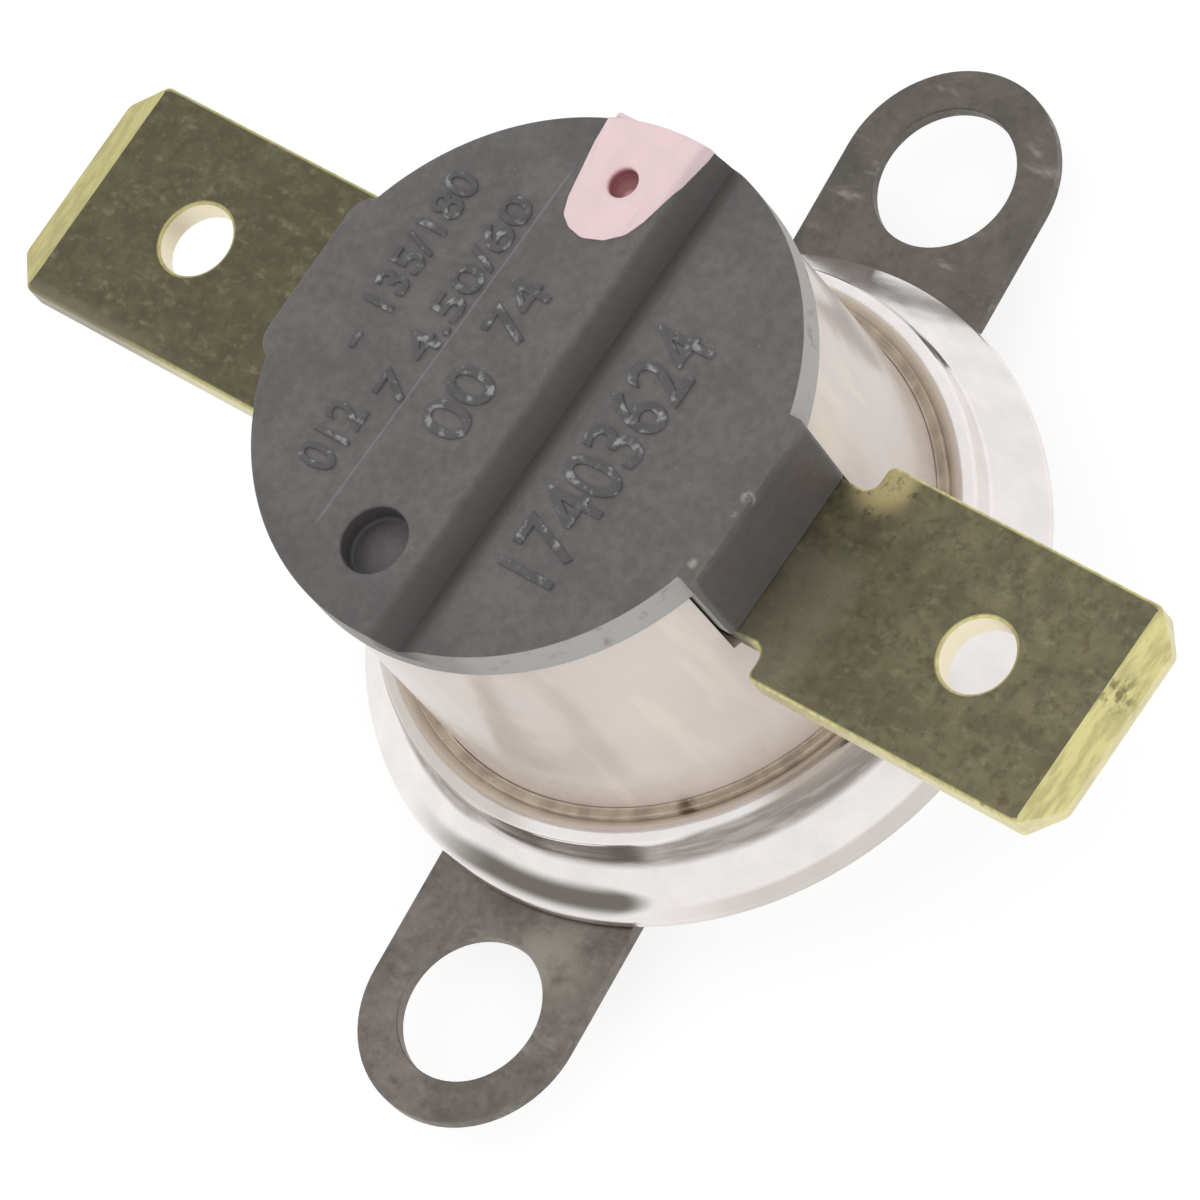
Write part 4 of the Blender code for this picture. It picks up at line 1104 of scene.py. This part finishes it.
class StampBlades(Operator):
    """Stamp the two brass blade terminals"""

    bl_idname = "thermostat.stamp_blades"
    bl_label = "Blade terminals"

    def execute(self, context):
        sizes = context.scene.thermostat_sizes
        holes = [(RIVET_X, RIVET_BORE), (TAB_HOLE_X, 0.98)]
        fixed = blade("fixed_blade", 1, BLADE_LOW.x / MM, [*holes, (2.15, 0.45)], sizes)
        wear(fixed, "tarnished_brass", "aged_brass", "fixed_terminal")
        moving = blade("moving_blade", -1, -MOVING_HIGH.x / MM, holes, sizes)
        wear(moving, "tarnished_brass", "aged_brass", "moving_terminal")
        return {"FINISHED"}


def arc(x, y, radius, start, end, steps):
    """Points on an arc, in degrees, as corners that need no rounding."""
    points = []
    for step in range(steps + 1):
        angle = math.radians(start + (end - start) * step / steps)
        points.append((x + radius * math.cos(angle), y + radius * math.sin(angle), 0))
    return points


class StampBracket(Operator):
    """Stamp the loose steel bracket with its two ears"""

    bl_idname = "thermostat.stamp_bracket"
    bl_label = "Bracket"

    def execute(self, context):
        low, high = BRACKET_LOW.z / MM, BRACKET_HIGH.z / MM
        ring, ear, reach = 8.7, 3.0, 12.0
        bore, screw_hole, turn = 8.09, 1.92, 95.8
        root = math.degrees(math.asin(ear / ring))
        corners = arc(reach, 0, ear, -90, 90, 40) + arc(0, 0, ring, root, 180 - root, 60)
        corners += arc(-reach, 0, ear, 90, 270, 40) + arc(0, 0, ring, 180 + root, 360 - root, 60)
        holes = [(0, 0, bore, 160), (reach, 0, screw_hole, 80), (-reach, 0, screw_hole, 80)]
        edge = context.scene.thermostat_sizes.bracket_edge
        bracket = stamped("loose_bracket", corners, low, high, holes, edge)
        bracket.rotation_euler.z = math.radians(turn)
        pick(bracket)
        settle()
        wear(smooth(bracket, 10), "plated_steel", "dull_plate", "mounting_bracket", body="bracket")
        return {"FINISHED"}


class FinishWorks(Operator):
    """Give the sealed-in switch works their finishes"""

    bl_idname = "thermostat.finish_works"
    bl_label = "Switch works"

    def execute(self, context):
        made = finishes()
        rivet = sheet_metal_finish("drawn_brass", (0.62, 0.47, 0.22), 0.26, (1, 1, 3))
        spring = sheet_metal_finish("rolled_bronze", (0.66, 0.41, 0.2), 0.28, (4, 1, 1))
        silver = sheet_metal_finish("pressed_silver", (0.84, 0.84, 0.82), 0.24, (1, 1, 1))
        bimetal = sheet_metal_finish("rolled_bimetal", (0.5, 0.47, 0.44), 0.32, (5, 1, 1))
        works = {
            "bimetal_disc": bimetal,
            "pin_guide": resin_finish(),
            "push_rod": made["glazed_ceramic"],
            "contact_spring": spring,
            "spring_clamp": made["dull_plate"],
            "fixed_terminal_rivet": rivet,
            "moving_terminal_rivet": rivet,
            "fixed_rivet_washer": made["dull_plate"],
            "moving_rivet_washer": made["dull_plate"],
            "fixed_contact": silver,
            "moving_contact": silver,
        }
        for name, material in works.items():
            for holder in frame["nodes"][name].material_slots:
                holder.material = material
        return {"FINISHED"}


class BendLeaf(Operator):
    """Cut the contact's leaf finer where it leaves its clamp"""

    bl_idname = "thermostat.bend_leaf"
    bl_label = "Contact leaf"

    def execute(self, context):
        leaf = copy_of(frame["nodes"]["contact_spring"], "bent_leaf")
        bend = 0.45 * MM
        cuts = 9
        clamped, free = MOVING_HIGH.x - bend, MOVING_HIGH.x + bend
        open_mesh(leaf)
        take_all()
        bpy.ops.mesh.remove_doubles(threshold=0.0005 * MM)
        for step in range(cuts):
            take_all()
            cut = clamped + (free - clamped) * step / (cuts - 1)
            bpy.ops.mesh.bisect(plane_co=(cut, 0, 0), plane_no=(1, 0, 0))
        smooth(close_mesh(leaf))
        coat(leaf, "rolled_bronze")
        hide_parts("contact_spring")
        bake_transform(leaf)
        return {"FINISHED"}


def set_camera(scene):
    """The photograph's viewing angle, in the part's own frame."""
    across = Vector((0.72613, 0.56232, -0.39566))
    down = Vector((0.39368, -0.81181, -0.43126))
    away = Vector((-0.5637, 0.15739, -0.81085))
    lens = bpy.data.cameras.new("camera")
    sensor, photo_pixels, focal_pixels = 36, 1200, 11697.7
    lens.sensor_width = sensor
    lens.lens = focal_pixels / photo_pixels * sensor
    lens.clip_start = 0.01
    camera = bpy.data.objects.new("camera", lens)
    place = Matrix((across, -down, -away)).transposed().to_4x4()
    from_cover = Vector((0.15959, -0.04678, 0.22187))
    place.translation = from_cover + Vector((0, 0, COVER_HIGH.z))
    camera.matrix_world = place
    scene.collection.objects.link(camera)
    scene.camera = camera


def lamp(name, place, size, power):
    """A soft square lamp that faces the object."""
    pick_none()
    bpy.ops.object.light_add(type="AREA", location=place)
    obj = bpy.context.object
    obj.name = name
    obj.data.size = size
    obj.data.energy = power
    obj.visible_glossy = False
    obj.rotation_euler = Vector(place).to_track_quat("Z", "Y").to_euler()


def seen(bench):
    """1 for the rays that show the surroundings: straight, mirrored or through glass."""
    names = ("Is Camera Ray", "Is Glossy Ray", "Is Transmission Ray")
    straight, mirrored, through = [bench.node("ShaderNodeLightPath", output=name) for name in names]
    return through.maths("MAXIMUM", straight.maths("MAXIMUM", straight, mirrored), through)


class SetStage(Operator):
    """Set up the floor, the soft light and the camera"""

    bl_idname = "thermostat.set_stage"
    bl_label = "Studio"

    def execute(self, context):
        scene = context.scene
        scene.view_settings.view_transform = "Standard"
        colours = scene.thermostat_colours
        pick_none()
        bpy.ops.mesh.primitive_plane_add(size=4, location=(0, 0, -0.02 * MM))
        floor = bpy.context.object
        floor.name = "floor"
        bench = Finish("studio_floor")
        shown = seen(bench)
        bench.shade = bench.mix(shown, colours.floor, darker(colours.floor, 0.4))
        glow = bench.mix(shown, (0, 0, 0), (0.75, 0.75, 0.75))
        bench.finish(0.9, Specular_IOR_Level=0, Emission_Color=glow, Emission_Strength=1)
        floor.data.materials.append(bench.material)
        world = bpy.data.worlds.new("studio")
        scene.world = world
        world.use_nodes = True
        sky = Bench(world.node_tree)
        background = world.node_tree.nodes["Background"]
        background.inputs["Color"].default_value = (1, 1, 1, 1)
        light = 0.78
        sky.feed(background.inputs["Strength"], seen(sky) * (1 - light) + light)
        lamp("key_lamp", (-0.55, 0, 0.13), size=0.4, power=0.95)
        lamp("fill_lamp", (0.5, -0.1, 0.1), size=0.6, power=1.1)
        set_camera(scene)
        return {"FINISHED"}


class ThermostatPanel(Panel):
    """Builds the oven thermostat piece by piece"""

    bl_label = "Oven thermostat"
    bl_idname = "VIEW3D_PT_thermostat"
    bl_space_type = "VIEW_3D"
    bl_region_type = "UI"
    bl_category = "Thermostat"

    def draw(self, context):
        column = self.layout.column(align=True)
        for step in STEPS:
            column.operator(step.bl_idname)
        for group in (context.scene.thermostat_sizes, context.scene.thermostat_colours):
            box = self.layout.box()
            for name in group.__annotations__:
                box.prop(group, name)


STEPS = (
    FormCup, FormBody, RunSeal, MouldCover, BrushLacquer, RaiseCharacters,
    StampBlades, StampBracket, FinishWorks, BendLeaf, SetStage,
)
CLASSES = (ThermostatSizes, ThermostatColours, *STEPS, ThermostatPanel)


def register():
    for kind in CLASSES:
        bpy.utils.register_class(kind)
    bpy.types.Scene.thermostat_sizes = PointerProperty(type=ThermostatSizes)
    bpy.types.Scene.thermostat_colours = PointerProperty(type=ThermostatColours)


def unregister():
    del bpy.types.Scene.thermostat_colours
    del bpy.types.Scene.thermostat_sizes
    for kind in reversed(CLASSES):
        bpy.utils.unregister_class(kind)


def main():
    register()
    pick_none()
    for step in STEPS:
        call = getattr(bpy.ops.thermostat, step.bl_idname.split(".")[1])
        if call() != {"FINISHED"}:
            raise RuntimeError(step.bl_label + " wasn't finished")


if __name__ == "__main__":
    main()
